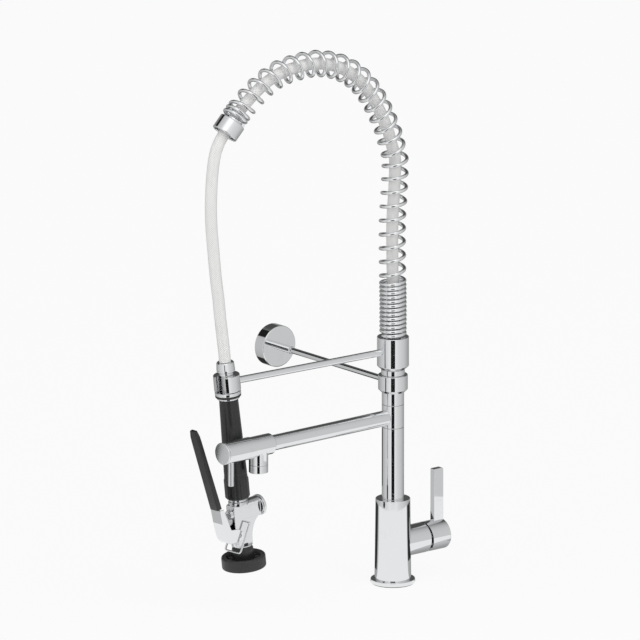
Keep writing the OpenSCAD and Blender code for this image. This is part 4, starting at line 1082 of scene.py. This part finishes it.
@dataclass
class PotFiller:
    """Swivel spout with its housing, nozzle, knob and pin lever."""

    dresser: Dresser
    z: float = 231.0
    ring: tuple[float, float] = (217.3, 248.7)
    tube_r: float = 10.5
    housing: tuple[float, float, float] = (213.0, 250.0, 14.25)
    nozzle_x: float = 235.0
    nozzle_r: float = 13.0
    nozzle_z: tuple[float, float] = (206.0, 195.0)
    knob: tuple[float, float, float] = (250.3, 295.3, 15.0)
    pin: tuple[float, float, float] = (283.0, 4.2, 184.0)

    def build(self) -> None:
        """Makes every piece of the spout."""
        self._ring_and_tube()
        self._housing()
        self._aerator()
        self._knob()
        self.dresser.keep(Surface.BRASS, "spout_headwork", "knob_stem")

    def _ring_and_tube(self) -> None:
        """Makes the turning ring and the tube that leaves it."""
        low, high = self.ring
        corners = [(11.1, low, 0.1), (15, low, 0.5), (15, high, 0.5), (11.1, high, 0.1)]
        ring = Shape().ring(corners, Place.deck, 128).object("spout_turning_ring")
        work(
            ring,
            drill(self.tube_r + 0.05, 10, 0.1, Place.along_minus_x(12.7, self.z), 64),
            drill(6, 20, 0.1, Place.along_minus_x(0, self.z), 48),
        )
        self.dresser.dress(ring, Surface.CHROME, "spout", "spout_ring")
        length = self.housing[0] + 8 - 12.9
        outline = [(9, 0, 0.1), (self.tube_r, 0, 0.2), (self.tube_r, length, 0.2), (9, length, 0.1)]
        tube = Shape().ring(outline, Place.along_minus_x(12.9, self.z), 96).object("spout_pipe")
        self.dresser.dress(tube, Surface.CHROME, "spout", "spout_tube")

    def _housing(self) -> None:
        """Makes the valve housing with the nozzle that hangs from it."""
        x0, x1, r = self.housing
        span = x1 - x0
        top = self.nozzle_z[0]
        body = Shape().spin([(0, 0, 0), (self.tube_r + 1, 0, 0.2), (r, 3, 0.5), (r, span, 0.3), (0, span, 0)],
                            Place.along_minus_x(x0, self.z), 128).object("spout_body")
        work(
            body,
            (Cut.JOIN, Shape().peg(self.nozzle_r, self.z - top, 0.3, moved(-self.nozzle_x, 0, top), 128)),
            drill(self.tube_r + 0.05, 9, 0.1, Place.along_minus_x(x0 - 0.5, self.z), 64),
            drill(8.95, 40, 0.1, Place.along_minus_x(x0 + 13, self.z), 64),
            drill(10.5, 14, 0.1, moved(-self.nozzle_x, 0, top - 1), 64),
        )
        self.dresser.dress(body, Surface.CHROME, "spout", "spout_housing")

    def _aerator(self) -> None:
        """Makes the aerator with its ring of outlets."""
        top, low = self.nozzle_z
        height = top - low - 0.2
        place = moved(-self.nozzle_x, 0, low)
        outline = [(9, 0, 0.3), (self.nozzle_r, 0, 1.1), (self.nozzle_r, height, 0.3),
                   (9.2, height, 0.1), (9.2, 2.2, 0.1), (9, 2, 0.1)]
        cap = Shape().ring(outline, place, 128).object("spout_outlet")
        work(cap, (Cut.JOIN, Shape().peg(9.3, 3.6, 0.1, place @ moved(z=1.9), 96)))
        for x, y in circles((0.0, 1), (3.2, 6), (6.2, 12)):
            work(cap, drill(0.85, 6, 0.05, place @ moved(x, y, 1.0), 20))
        self.dresser.dress(cap, Surface.CHROME, "spout", "spout_aerator")

    def _knob(self) -> None:
        """Makes the knob, its end cap and its pin lever."""
        x0, x1, r = self.knob
        pin_x, pin_r, pin_low = self.pin
        shell = [(4.05, 6, 0.1), (9.9, 6, 0.2), (9.9, 0, 0.2), (r, 0, 0.45), (r, x1 - x0, 0.35),
                 (10, x1 - x0, 0.1), (10, 22, 0.3), (4.05, 22, 0.1)]
        knob = Shape().ring(shell, Place.along_minus_x(x0, self.z), 128).object("shutoff_knob")
        work(knob, drill(pin_r + 0.05, 30, 0.1, moved(-pin_x, 0, self.z - 30), 64))
        self.dresser.dress(knob, Surface.CHROME, "spout_tap", "spout_knob")
        cap = Shape().peg(r, 3, 0.8, Place.along_minus_x(x1, self.z), 128)
        cap.peg(9.9, 2.9, 0.2, Place.along_minus_x(x1 - 2.95, self.z), 64)
        self.dresser.dress(cap.object("shutoff_end_cap"), Surface.SATIN, "spout_tap", "knob_end_cap")
        pin = Shape().peg(pin_r, self.z - 8.5 - pin_low, 0.9, moved(-pin_x, 0, pin_low), 64)
        self.dresser.dress(pin.object("shutoff_pin"), Surface.CHROME, "spout_tap", "knob_pin_lever")


@dataclass
class SprayArm:
    """Turning collar, rod and open holder of the spray valve."""

    dresser: Dresser
    collar: tuple[float, float, float] = (297.5, 342.5, 21.5)
    rod_z: float = 322.5
    rod_r: float = 4.7
    rod_root: float = 14.0
    holder: tuple[float, float, float] = (250.0, 272.0, 18.0)
    bore: float = 8.4
    slot: tuple[float, float] = (25.0, 16.3)

    def build(self) -> None:
        """Makes every piece of the arm."""
        z0, z1, r = self.collar
        height = z1 - z0
        mid = (self.holder[0] + self.holder[1]) / 2
        reach = Place.reach + mid * math.sin(math.radians(Place.lean)) - self.rod_root
        slope = math.degrees(math.atan2(5, reach))
        outline = [(11.1, 0, 0.1), (16, 0, 0.3), (r - 0.5, 4.2, 0.5), (r, 5, 0.4), (r, height, 1.1),
                   (8.05, height, 0.2), (8.05, 32.5, 0.1), (11.1, 32.5, 0.1)]
        collar = Shape().ring(outline, Place.spray @ moved(z=z0), 128).object("arm_turning_collar")
        rod = Place.along_minus_x(self.rod_root, self.rod_z, Place.spray) @ turned(-slope, "Y")
        work(
            collar,
            drill(self.rod_r + 0.05, 20, 0.1, rod, 64),
            drill(2.5, 22, 0.1, Place.along_x(9, z0 + 15, Place.spray), 32),
        )
        self.dresser.dress(collar, Surface.CHROME, "spray_arm", "arm_collar")
        length = reach / math.cos(math.radians(slope)) - 12
        bar = Shape().peg(self.rod_r, length, 0.3, rod, 64).object("arm_bar")
        self.dresser.dress(bar, Surface.CHROME, "spray_arm", "arm_rod")
        self._holder(mid, slope)
        self.dresser.keep(Surface.SCREW, "arm_grub_screw")
        self.dresser.keep(Surface.STEEL, "hose_tail")

    def _holder(self, mid: float, slope: float) -> None:
        """Makes the holder, open at one side and softly chamfered."""
        s0, s1, r = self.holder
        turn, width = self.slot
        outline = [(self.bore, s0, 0.6), (r, s0, 1.2), (r, s1, 1.2), (self.bore, s1, 0.6)]
        cup = Shape().ring(outline, Place.holder, 128).object("holder_cup")
        slot = Place.holder @ turned(turn, "Z")
        socket = Place.holder @ moved(z=mid) @ turned(Place.lean, "Y") @ turned(90 - slope, "Y") @ moved(z=12)
        work(
            cup,
            (Cut.TAKE, Shape().block((-2 * r, -width / 2, s0 - 1), (0, width / 2, s1 + 1), slot)),
            drill(self.rod_r + 0.05, 20, 0.1, socket, 64),
        )
        ease_edges(cup, 0.5, 50)
        self.dresser.dress(cup, Surface.CHROME, "spray_arm", "gun_holder")


@dataclass
class SpringAndHose:
    """Balance spring, its ferrule, the hose inside it and the free hose."""

    dresser: Dresser
    coil_r: float = 16.0
    wire_r: float = 2.5
    close_turns: float = 12.6
    open_turns: float = 27.0
    end_turns: float = 2.5
    pitch: float = 6.0
    air: float = 0.3
    hose_r: float = 8.0
    ferrule: tuple[float, float] = (18.5, 21.0)

    def build(self) -> None:
        """Makes every piece along the arch."""
        arch, drop = Route.arch_line(), Route.drop_line()
        self._spring(arch)
        self._ferrule(arch[-1])
        inner = Shape().sweep(arch[1:], self.hose_r, 24).object("hose_in_spring")
        self.dresser.dress(inner, Surface.HOSE, "spray_arm", "guided_hose", angle=60)
        free = Shape().sweep(drop, self.hose_r, 28).object("free_hose")
        self.dresser.dress(free, Surface.HOSE, "spray_arm", "drop_hose", angle=60)
        length = Route.length(drop) * MM
        LOG.info("free hose is %.3f m long", length)

    def _spring(self, arch: Sequence[Vector]) -> None:
        """Winds the spring round the arch."""
        curve = bpy.data.curves.new("balance_spring_wire", "CURVE")
        curve.dimensions = "3D"
        line = curve.splines.new("POLY")
        line.points.add(len(arch) - 1)
        for point, spot in zip(line.points, arch):
            point.co = (*(spot * MM), 1.0)
        carrier = add_object("balance_spring_wire", curve)
        length = Route.length(arch)
        start = self.wire_r + self.air
        stop = length - self.ferrule[1] - self.wire_r - 2 * self.air
        close, end = self.close_turns * self.pitch, self.end_turns * self.pitch
        side = Place.spray.to_3x3() @ Vector((0, 1, 0))
        wire = WoundWire().run(
            carrier, Start=start * MM, Close_Turns=self.close_turns, Close_Length=close * MM,
            Open_Turns=self.open_turns, Open_Length=(stop - end - start - close) * MM, End_Turns=self.end_turns,
            End_Length=end * MM, Coil_Radius=self.coil_r * MM, Wire_Radius=self.wire_r * MM,
            Steps=36, Side=tuple(side), Material=self.dresser.material(Surface.SPRING))
        self.dresser.dress(wire, Surface.SPRING, "spray_arm", "balance_spring", angle=60)

    def _ferrule(self, mouth: Vector) -> None:
        """Makes the ferrule that the spring rests on, with its wide round-lipped mouth and short spigot."""
        r, length = self.ferrule
        place = moved(*mouth) @ Place.spray @ turned(41.5, "Y")
        outline = [(9.8, 10, 0.4), (r - 3.5, 10, 1.6), (r - 3.5, 0, 1.5), (r, 0, 2.2), (r, length, 1.8),
                   (11.8, length, 0.2), (11.8, length + 3, 0.4), (9.8, length + 3, 0.4)]
        cup = Shape().ring(outline, place, 128).object("ferrule_cup")
        self.dresser.dress(cup, Surface.CHROME, "spray_arm", "spring_ferrule")


@dataclass
class SprayValve:
    """The hand spray: handle, valve body, trigger, bumper and hold-open ring."""

    dresser: Dresser
    bars: RingOfBars
    barrel_r: float = 13.5
    flats: float = 8.0
    body: tuple[float, float] = (30.0, 98.0)
    bonnet: float = 37.0
    stem_s: float = 78.0
    nut: tuple[float, float] = (17.0, 33.0)
    grip: tuple[float, float, float] = (15.5, 12.8, 107.7)
    handle_r: float = 8.0
    holder_top: float = 272.3
    bumper: tuple[float, float] = (29.75, 17.0)
    pivot: tuple[float, float] = (9.0, 48.0)
    lean: float = 12.5
    clearance: float = 0.3
    sheet: float = 1.5
    pin_head: float = 0.8
    grip_foot: tuple[float, float] = (39.3, 93.0)
    ring: tuple[float, float, float] = (1.3, 15.4, 4.0)
    ring_head: tuple[float, float] = (4.0, 64.0)
    ring_foot: tuple[float, float] = (-17.5, 26.0)
    place: Matrix = field(default_factory=lambda: Place.gun)

    def build(self) -> None:
        """Makes every piece of the spray valve."""
        self._handle()
        self._coupling()
        self._body()
        self._bonnet()
        self._stem()
        self._neck_and_bumper()
        self._spray_plate()
        self._trigger()
        self._trigger_grip()
        self._pivot()
        self._hold_ring()
        self.dresser.keep(Surface.PALE_PLASTIC, "valve_seat")
        self.dresser.keep(Surface.SPRING, "valve_spring")
        self.dresser.keep(Surface.STEEL, "handle_tube", "face_screw")

    def _ring(self, name: str, node: str, surface: Surface, s: float, corners: Sequence[Corner]) -> None:
        """Makes one turned ring of the handle at height s."""
        piece = Shape().ring(corners, self.place @ moved(z=s), 96).object(name)
        self.dresser.dress(piece, surface, "spray_gun", node)

    def _handle(self) -> None:
        """Makes the hose nut, the flange disc, the black band, the thin ring and the grip."""
        bore = self.handle_r + 0.05
        self._ring("hose_end_nut", "hose_nut", Surface.CHROME, self.holder_top, [
            (bore, 0, 0.1), (10, 0, 0.3), (10, 3.4, 0.3), (11.9, 4.2, 0.3), (12.5, 5, 0.5), (12.5, 7.2, 0.1),
            (12.2, 7.5, 0.1), (12.5, 7.8, 0.1), (11.9, 16.6, 0.5), (10.7, 17.8, 0.6), (7.6, 17.8, 0.3),
            (5.5, 16, 0.3), (5.5, 9, 0.1), (bore, 8.4, 0.1)])
        top = self.body[1] + self.nut[1] + self.grip[2]
        self._ring("handle_disc", "handle_flange", Surface.CHROME, top + 5.5,
                   [(bore, 0, 0.1), (17.7, 0, 1.4), (17.7, 5, 1.6), (bore, 5, 0.4)])
        self._ring("handle_band", "handle_seal", Surface.RUBBER, top + 2.5,
                   [(bore, 0, 0.1), (17.5, 0, 1.3), (17.5, 3, 1.0), (bore, 3, 0.1)])
        self._ring("handle_ring", "grip_ring", Surface.CHROME, top,
                   [(bore, 0, 0.1), (15.5, 0, 0.9), (15.5, 2.5, 0.9), (bore, 2.5, 0.1)])
        low, high, length = self.grip
        self._ring("handle_grip", "grip_sleeve", Surface.GRIP, self.body[1] + self.nut[1], [
            (bore, 0, 0.1), (low, 0, 0.6), (low, 4, 1.5), (high, length, 0.8), (bore, length, 0.1)])

    def _coupling(self) -> None:
        """Makes the fluted coupling nut."""
        r, height = self.nut
        core = [(self.handle_r + 0.05, 0, 0.1), (r - 2.2, 0, 0.4), (r - 1.1, 1.6, 0.4),
                (r - 1.1, height - 5, 0.5), (self.grip[0], height - 1, 0.4), (self.grip[0], height, 0.2),
                (self.handle_r + 0.05, height, 0.1)]
        place = self.place @ moved(z=self.body[1])
        nut = Shape().ring(core, place, 120).object("coupling_nut_core")
        flutes = self.bars.build("coupling_flutes", place @ moved(z=height / 2 - 2.0),
                                 self.dresser.material(Surface.GRIP), Count=10, Ring_Radius=(r - 3.0) * MM,
                                 Bar_Radius=0.0030, Bar_Length=(height - 9.5) * MM, Flatten=0.9)
        self.dresser.dress(nut, Surface.GRIP, "spray_gun", "coupling_nut")
        self.dresser.dress(flutes, Surface.GRIP, "spray_gun", "coupling_nut")

    def _body(self) -> None:
        """Makes the cast body: neck, flat cheeks, swept back and the stem's guide."""
        s0, s1 = self.body
        r, x, s = self.barrel_r, self.bonnet - 4, self.stem_s
        sweep = [(x - (x - r + 1) * math.cos(a), 36 + 32 * math.sin(a))
                 for a in (math.radians(5 * k) for k in range(19))]
        outline = ([(-r + 1, s0), (r - 1, s0)] + sweep
                   + [(x, s + 9), (-14, s1 - 7.5), (-15.4, s1 - 9.5), (-15.4, 58), (-r + 1, 44)])
        shape = Shape().prism(outline, -self.flats, self.flats, self.place)
        shape.peg(r, s1 - s0 - 4, 0.8, self.place @ moved(z=s0), 128)
        shape.peg(r, self.bonnet, 0.6, Place.along_x(-4, s, self.place), 128)
        shape.peg(12, 6, 0.4, self.place @ moved(z=s1 - 6), 96)
        shape.peg(6.5, 13, 0.8, Place.along_x(-20, s, self.place), 64)
        cast = shape.object("valve_casting")
        melt(cast, 0.4, 0)
        for side in (-1, 1):
            y = sorted((side * self.flats, side * 20))
            side_cut = Shape().block((-30, y[0], s0 + 2), (self.bonnet - 6, y[1], s1 - 10), self.place)
            work(cast, (Cut.TAKE, side_cut))
        melt(cast, 0.4, 14)
        work(
            cast,
            drill(2.45, 60, 0.05, Place.along_x(-21, s, self.place), 32),
            drill(6.3, 60, 0.1, Place.along_x(2.5, s, self.place), 48),
            drill(self.handle_r + 0.05, 20, 0.1, self.place @ moved(z=s1 - 8.2), 64),
            drill(2.05, 60, 0.05, Place.along_y(-30, self.pivot[1], -self.pivot[0], self.place), 32),
        )
        # The casting takes the darker chrome, whose colour is painted shade.
        self.dresser.dress(cast, Surface.SHADED_CAST_CHROME, "spray_gun", "valve_body", angle=40)

    def _bonnet(self) -> None:
        """Makes the screwed bonnet cap with its key socket and fine knurl."""
        place = Place.along_x(self.bonnet - 4, self.stem_s, self.place)
        cap = Shape().spin([(0, 0, 0), (14.1, 0, 0.5), (14.1, 4, 0.9), (8, 4, 0.3), (7.4, 3.4, 0.2),
                            (0, 3.4, 0)], place, 128).object("bonnet_screw_cap")
        work(cap, drill(4, 3, 0.02, place @ moved(z=1.9), 6))
        neck = Shape().peg(6.25, 8, 0.3, place @ moved(z=-8.01), 48)
        work(cap, (Cut.JOIN, neck))
        self.dresser.dress(cap, Surface.CHROME, "spray_gun", "bonnet_cap")
        knurl = self.bars.build("bonnet_knurl", place @ moved(z=2.0), self.dresser.material(Surface.CHROME),
                                Count=60, Ring_Radius=0.01395, Bar_Radius=0.00030, Bar_Length=0.0018)
        self.dresser.dress(knurl, Surface.CHROME, "spray_gun", "bonnet_cap")

    def _stem(self) -> None:
        """Makes the push stem with its button and the grooves of its seal."""
        place = Place.along_x(0, self.stem_s, self.place)
        corners: list[Corner] = [(0, -36.3, 0), (3.9, -36.3, 3.2), (4, -30.8, 0.4), (2.4, -30.8, 0.1)]
        for k in range(4):
            z = -29.2 + 1.9 * k
            corners += [(2.4, z, 0), (2.1, z + 0.25, 0), (2.1, z + 0.7, 0), (2.4, z + 0.95, 0)]
        corners += [(2.4, 5.3, 0.1), (5.2, 5.3, 0.3), (5.2, 9.5, 0.3), (2.4, 9.5, 0.1), (2.4, 27, 0.3),
                    (0, 27, 0)]
        stem = Shape().spin(corners, place, 48).object("push_stem")
        self.dresser.dress(stem, Surface.STEEL, "stem", "valve_stem")

    def _neck_and_bumper(self) -> None:
        """Makes the black neck, and the rubber bumper with its radial ribs."""
        neck = Shape().ring([(5, 2, 0.1), (11, 5, 0.3), (11, 9.5, 0.1), (15.2, 9.5, 0.3), (14.5, 15, 2.0),
                             (14.4, 26.5, 1.5), (12.9, 30, 0.4), (8.95, 30, 0.1), (8.95, 34.4, 0.2),
                             (5, 34.4, 0.1)], self.place, 128)
        self.dresser.dress(neck.object("spray_neck_shell"), Surface.GRIP, "spray_gun", "spray_neck")
        r, h = self.bumper
        outline = [(11.05, 6, 0.2), (r - 5, 6, 0.3), (r - 5, 0, 0.5), (r, 0, 2.4), (r, h, 2.8),
                   (r - 6.2, h - 0.8, 1.6), (r - 8, 10.8, 1.6), (15.6, 9.5, 0.8), (11.05, 9.5, 0.2)]
        bumper = Shape().ring(outline, self.place, 128).object("bumper_ring")
        self.dresser.dress(bumper, Surface.RUBBER, "spray_gun", "rubber_bumper")
        ribs = self.bars.build("bumper_ribs", self.place @ moved(z=10.8), self.dresser.material(Surface.RUBBER),
                               Count=12, Ring_Radius=0.0186, Bar_Radius=0.0012, Bar_Length=0.0056,
                               Lean=math.pi / 2, Flatten=1.8)
        self.dresser.dress(ribs, Surface.RUBBER, "spray_gun", "rubber_bumper")

    def _spray_plate(self) -> None:
        """Makes the plate with its rings of jets."""
        plate = Shape().spin([(0, 1.7, 0), (3.8, 1.7, 0.2), (4.6, 1.5, 0.2), (23.6, 1.5, 0.3), (23.6, 4, 0.2),
                              (12, 4, 0.1), (12, 4.8, 0.1), (0, 4.8, 0)], self.place, 128)
        jets = Shape()
        for x, y in circles((8.0, 9), (12.2, 14), (16.0, 18)):
            jets.ring([(0.75, 0.4, 0.1), (1.35, 1.9, 0.1), (0.75, 1.9, 0)], self.place @ moved(x, y), 16)
        self.dresser.dress(plate.object("spray_plate"), Surface.STEEL, "spray_gun", "spray_face")
        self.dresser.dress(jets.object("spray_jets"), Surface.STEEL, "spray_gun", "spray_face")

    def _trigger(self) -> None:
        """Makes the folded channel of the trigger."""
        px, ps = self.pivot
        outer = self.flats + self.clearance + self.sheet
        outline = soften([(-px + 4.5, ps - 4, 1.5), (-px + 5.2, ps + 3, 2.5), (-px + 1, ps + 8.2, 3),
                          (-px - 5, ps + 10.5, 2), (-24, 60, 3), (-33.8, 92, 0.5), (-40.7, 92, 0.5),
                          (-38.5, 72, 6), (-35.8, 55, 8), (-33.5, 47, 5), (-29, 42, 4), (-22, 40.5, 3),
                          (-px, ps - 7, 3), (-px + 3, ps - 6, 2)], True)
        inner = [(5, 30), (-20, 30), (-27, 44), (-30.8, 48.5), (-34, 58), (-36.7, 75), (-38.6, 95), (5, 95)]
        channel = Shape().prism(outline, -outer, outer, self.place).object("trigger_fold")
        work(
            channel,
            (Cut.TAKE, Shape().prism(inner, -outer + self.sheet, outer - self.sheet, self.place)),
            drill(2.05, 60, 0.05, Place.along_y(-30, ps, -px, self.place), 32),
        )
        ease_edges(channel, 0.45, 45)
        self.dresser.dress(channel, Surface.CHROME, "trigger", "trigger_channel")

    def _trigger_grip(self) -> None:
        """Makes the black grip with its pointed foot and softened back."""
        foot_x, foot_s = self.grip_foot
        half, thick, length = 8.5, 3.7, 121.0
        place = self.place @ moved(-foot_x, 0, foot_s) @ turned(-self.lean, "Y")
        outline = soften([(-thick, -half, 2.2), (thick, -half, 1.4), (thick, half, 1.4),
                          (-thick, half, 2.2)], True)
        rings = []
        for k in range(15):
            t = k / 14
            swell = (1.0 - 0.14 * t) * {13: 0.96, 14: 0.72}.get(k, 1.0)
            rings.append([place @ Vector((x * swell, y * swell, length * t - (0 if k else 1.6 - 0.19 * abs(y))))
                          for x, y in outline])
        grip = Shape().loft(rings).object("trigger_handle")
        ease_edges(grip, 0.5, 50)
        self.dresser.dress(grip, Surface.GRIP, "trigger", "trigger_grip")

    def _pivot(self) -> None:
        """Makes the pivot pin with its domed heads."""
        px, ps = self.pivot
        half = self.flats + self.clearance + self.sheet + self.pin_head
        outline = soften([(0, -half, 0), (1.7, -half, 0.8), (2.0, -half + 1.2, 0.2), (2.0, half - 1.2, 0.2),
                          (1.7, half, 0.8), (0, half, 0)])
        pin = Shape().lathe(outline, Place.along_y(0, ps, -px, self.place), 48).object("trigger_pin")
        self.dresser.dress(pin, Surface.STEEL, "spray_gun", "pivot_pin")

    def _hold_ring(self) -> None:
        """Bends the wire ring that holds the trigger pressed."""
        r, half, bow = self.ring
        head, foot = Vector(self.ring_head), Vector(self.ring_foot)
        drop = foot - head
        reach = drop.length
        lean = math.degrees(math.atan2(-drop.x, -drop.y))
        place = self.place @ moved(head.x, 0, head.y) @ turned(lean, "Y")
        start = self.flats - 2.5
        corners = [Vector((0, start, 0)), Vector((0, half, 0)), Vector((0, half, -reach)),
                   Vector((0, -half, -reach)), Vector((0, -half, 0)), Vector((0, -start, 0))]
        radii = (0, 1.5, bow, bow, 1.5, 0)
        path: list[Vector] = []
        for i, (corner, bend) in enumerate(zip(corners, radii)):
            if not bend:
                path.append(corner)
                continue
            back, ahead = (corners[i - 1] - corner).normalized(), (corners[i + 1] - corner).normalized()
            for k in range(9):
                t = k / 8
                path.append((corner + back * bend) * (1 - t) ** 2 + corner * 2 * t * (1 - t)
                            + (corner + ahead * bend) * t**2)
        wire = Shape().sweep([place @ p for p in path], r, 16).object("hold_open_wire")
        self.dresser.dress(wire, Surface.SPRING, "hold_clip", "hold_ring", angle=60)


# ---------------------------------------------------------------- studio


@dataclass
class Studio:
    """Camera, white sweep, dark and light cards that only metal sees, and lamps."""

    azimuth: float = 50.0
    elevation: float = 15.0
    scale: float = 1.34
    distance: float = 40.0
    pixels: int = 640
    aim: tuple[float, float, float] = (-0.0749, 0.0629, 0.3648)
    strip: float = 15.5
    strip_top: tuple[float, float] = (0.30, 0.45)
    worktop: tuple[float, float] = (-0.2465, -0.185)
    brightness: float = 0.95
    falls: tuple[tuple[float, float, float], ...] = (
        (0.27, 0.78, 0.16), (0.78, 1.57, 0.15), (1.57, 2.2, 0.20), (2.2, 2.8, 0.10))
    dark_fans: tuple[tuple[str, float, float, float, float], ...] = (
        ("card_side_left", 0.09, 0.44, -1.95, -2.62), ("card_side_right", 0.14, 0.44, 1.84, 2.62),
        ("card_back_left", 0.50, 0.80, -2.27, -2.75))
    lamps: tuple[tuple[str, float, float, float, float], ...] = (
        ("key", 0.8, 2.4, 14.0, 1.6), ("fill", -0.9, 1.6, 7.0, 1.8))
    lamp_reach: float = 2.4
    front_gain: float = 0.3
    back_loss: float = 0.26
    flag_loss: float = 0.7

    def build(self) -> None:
        """Sets the studio up."""
        toward = self._camera()
        self._world(toward)
        self._floor()
        self._cards(toward)
        self._lamps(toward)
        bpy.context.scene.view_settings.view_transform = "Standard"

    def _camera(self) -> float:
        """Places the camera and returns its direction round the vertical, in radians."""
        flat = math.radians(self.azimuth)
        rise = math.radians(self.elevation)
        back = Vector((-math.sin(math.radians(90) - flat) * math.cos(rise), -math.sin(flat) * math.cos(rise),
                       math.sin(rise)))
        data = bpy.data.cameras.new("camera")
        data.sensor_width = 36.0
        data.lens = 36.0 * self.distance / (self.pixels * self.scale * MM)
        data.clip_end = 90.0
        camera = add_object("camera", data)
        camera.location = Vector(self.aim) + back * self.distance
        camera.rotation_euler = (-back).to_track_quat("-Z", "Y").to_euler()
        bpy.context.scene.camera = camera
        return math.atan2(back.y, back.x)

    def _world(self, toward: float) -> None:
        """Builds a white room with a dark strip, a light worktop edge, a grey back wall and a dark flag."""
        world = bpy.data.worlds.new("studio")
        bpy.context.scene.world = world
        world.use_nodes = True
        world.node_tree.nodes.clear()
        kit = NodeKit(world.node_tree)
        turn = kit.add("ShaderNodeVectorRotate", {"Vector": kit.add("ShaderNodeTexCoord").outputs["Generated"],
                                                  "Angle": -toward}, rotation_type="Z_AXIS")
        x, y, z = kit.add("ShaderNodeSeparateXYZ", {0: turn.outputs[0]}).outputs
        swing = kit.math("ARCTAN2", y, x)
        angle = kit.math("ABSOLUTE", swing)
        half = math.radians(self.strip)
        clear = kit.most(kit.ramp(angle, half - 0.02, half + 0.02), kit.band(z, *self.worktop, 0.004))
        clear = kit.most(clear, kit.ramp(z, *self.strip_top))
        light: object = self.brightness
        for low, high, fall in self.falls:
            light = kit.minus(light, kit.times(kit.ramp(angle, low, high, smooth=False), fall))
        front = kit.times(kit.ramp(angle, 0.9, 0.35), kit.ramp(z, 0.35, 0.55))
        light = kit.plus(light, kit.times(front, self.front_gain))
        back = kit.times(kit.ramp(angle, 2.0, 2.6), kit.band(z, 0.22, 0.78, 0.06))
        flag = kit.times(kit.band(swing, -2.42, -1.88, 0.03), kit.band(z, 0.42, 0.70, 0.02))
        light = kit.minus(light, kit.times(back, self.back_loss))
        light = kit.most(kit.minus(light, kit.times(flag, self.flag_loss)), 0.015)
        light = kit.times(light, kit.ramp(clear, 0.0, 1.0, 0.010, 1.0, smooth=False))
        grey = kit.add("ShaderNodeCombineColor", {0: light, 1: light, 2: light}).outputs[0]
        room = kit.add("ShaderNodeBackground", {"Color": grey})
        seen = kit.add("ShaderNodeBackground", {"Color": (1, 1, 1, 1)})
        camera = kit.add("ShaderNodeLightPath").outputs["Is Camera Ray"]
        mix = kit.add("ShaderNodeMixShader", {0: camera, 1: room.outputs[0], 2: seen.outputs[0]})
        kit.add("ShaderNodeOutputWorld", {0: mix.outputs[0]})

    @staticmethod
    def _paint(name: str, colour: float, glow: float) -> bpy.types.Material:
        """Returns a matt stage paint whose seen brightness is partly fixed."""
        material = bpy.data.materials.new(name)
        material.use_nodes = True
        material.node_tree.nodes.clear()
        kit = NodeKit(material.node_tree)
        tone = (colour, colour, colour, 1)
        matt = kit.add("ShaderNodeBsdfDiffuse", {"Color": tone}).outputs[0]
        shine = kit.add("ShaderNodeEmission", {"Color": tone}).outputs[0]
        rays = kit.add("ShaderNodeLightPath").outputs
        seen = kit.most(kit.most(rays["Is Camera Ray"], rays["Is Glossy Ray"]), rays["Is Transmission Ray"])
        mix = kit.add("ShaderNodeMixShader", {0: kit.times(seen, glow), 1: matt, 2: shine})
        kit.add("ShaderNodeOutputMaterial", {0: mix.outputs[0]})
        return material

    def _fan(self, name: str, radii: tuple[float, float], angles: tuple[float, float], z: float,
             material: bpy.types.Material) -> bpy.types.Object:
        """Returns a flat sector of a ring, as a stage object."""
        bm = bmesh.new()
        steps = 48
        rows = []
        for k in range(steps + 1):
            a = angles[0] + (angles[1] - angles[0]) * k / steps
            rows.append([bm.verts.new((r * math.cos(a), r * math.sin(a), z)) for r in radii])
        for low, high in zip(rows, rows[1:]):
            bm.faces.new((low[0], low[1], high[1], high[0]))
        mesh = bpy.data.meshes.new(name)
        bm.to_mesh(mesh)
        bm.free()
        obj = add_object(name, mesh)
        obj.data.materials.append(material)
        return obj

    def _floor(self) -> None:
        """Lays the pale floor, which keeps the object's shadow."""
        floor = self._fan("floor", (0.0, 12.0), (0.0, 2 * math.pi), -0.0002,
                          self._paint("floor_paint", 0.985, 0.92))
        floor.visible_glossy = False

    def _cards(self, toward: float) -> None:
        """Lays a light table and three dark fans that only reflections see."""
        light = self._paint("card_light", 0.96, 1.0)
        dark = self._paint("card_dark", 0.03, 1.0)
        fans = [self._fan("card_front", (0.0, 0.445), (toward - 1.75, toward + 1.75), 0.0001, light)]
        for name, near, far, start, end in self.dark_fans:
            fans.append(self._fan(name, (near, far), (toward + start, toward + end), 0.0001, dark))
        for fan in fans:
            fan.visible_camera = False
            fan.visible_diffuse = False
            fan.visible_shadow = False

    def _lamps(self, toward: float) -> None:
        """Hangs two large soft lamps."""
        for name, turn, height, power, size in self.lamps:
            data = bpy.data.lights.new(name, "AREA")
            data.energy = power
            data.size = size
            lamp = add_object(name, data)
            spot = (self.lamp_reach * math.cos(toward + turn), self.lamp_reach * math.sin(toward + turn))
            lamp.location = (*spot, height)
            aim = Vector((-0.1, 0.0, 0.35)) - lamp.location
            lamp.rotation_euler = aim.to_track_quat("-Z", "Y").to_euler()
            lamp.visible_glossy = False


def main() -> None:
    """Builds the faucet and its studio."""
    logging.basicConfig(level=logging.INFO, format="%(name)s: %(message)s")
    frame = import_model()
    Studio().build()
    dresser = Dresser(frame)
    bars = RingOfBars()
    SpringAndHose(dresser).build()
    BaseAndMixer(dresser, bars).build()
    Column(dresser).build()
    WallBracket(dresser).build()
    PotFiller(dresser).build()
    SprayArm(dresser).build()
    SprayValve(dresser, bars).build()
    LOG.info("%d pieces made", dresser.count)


if __name__ == "__main__":
    main()
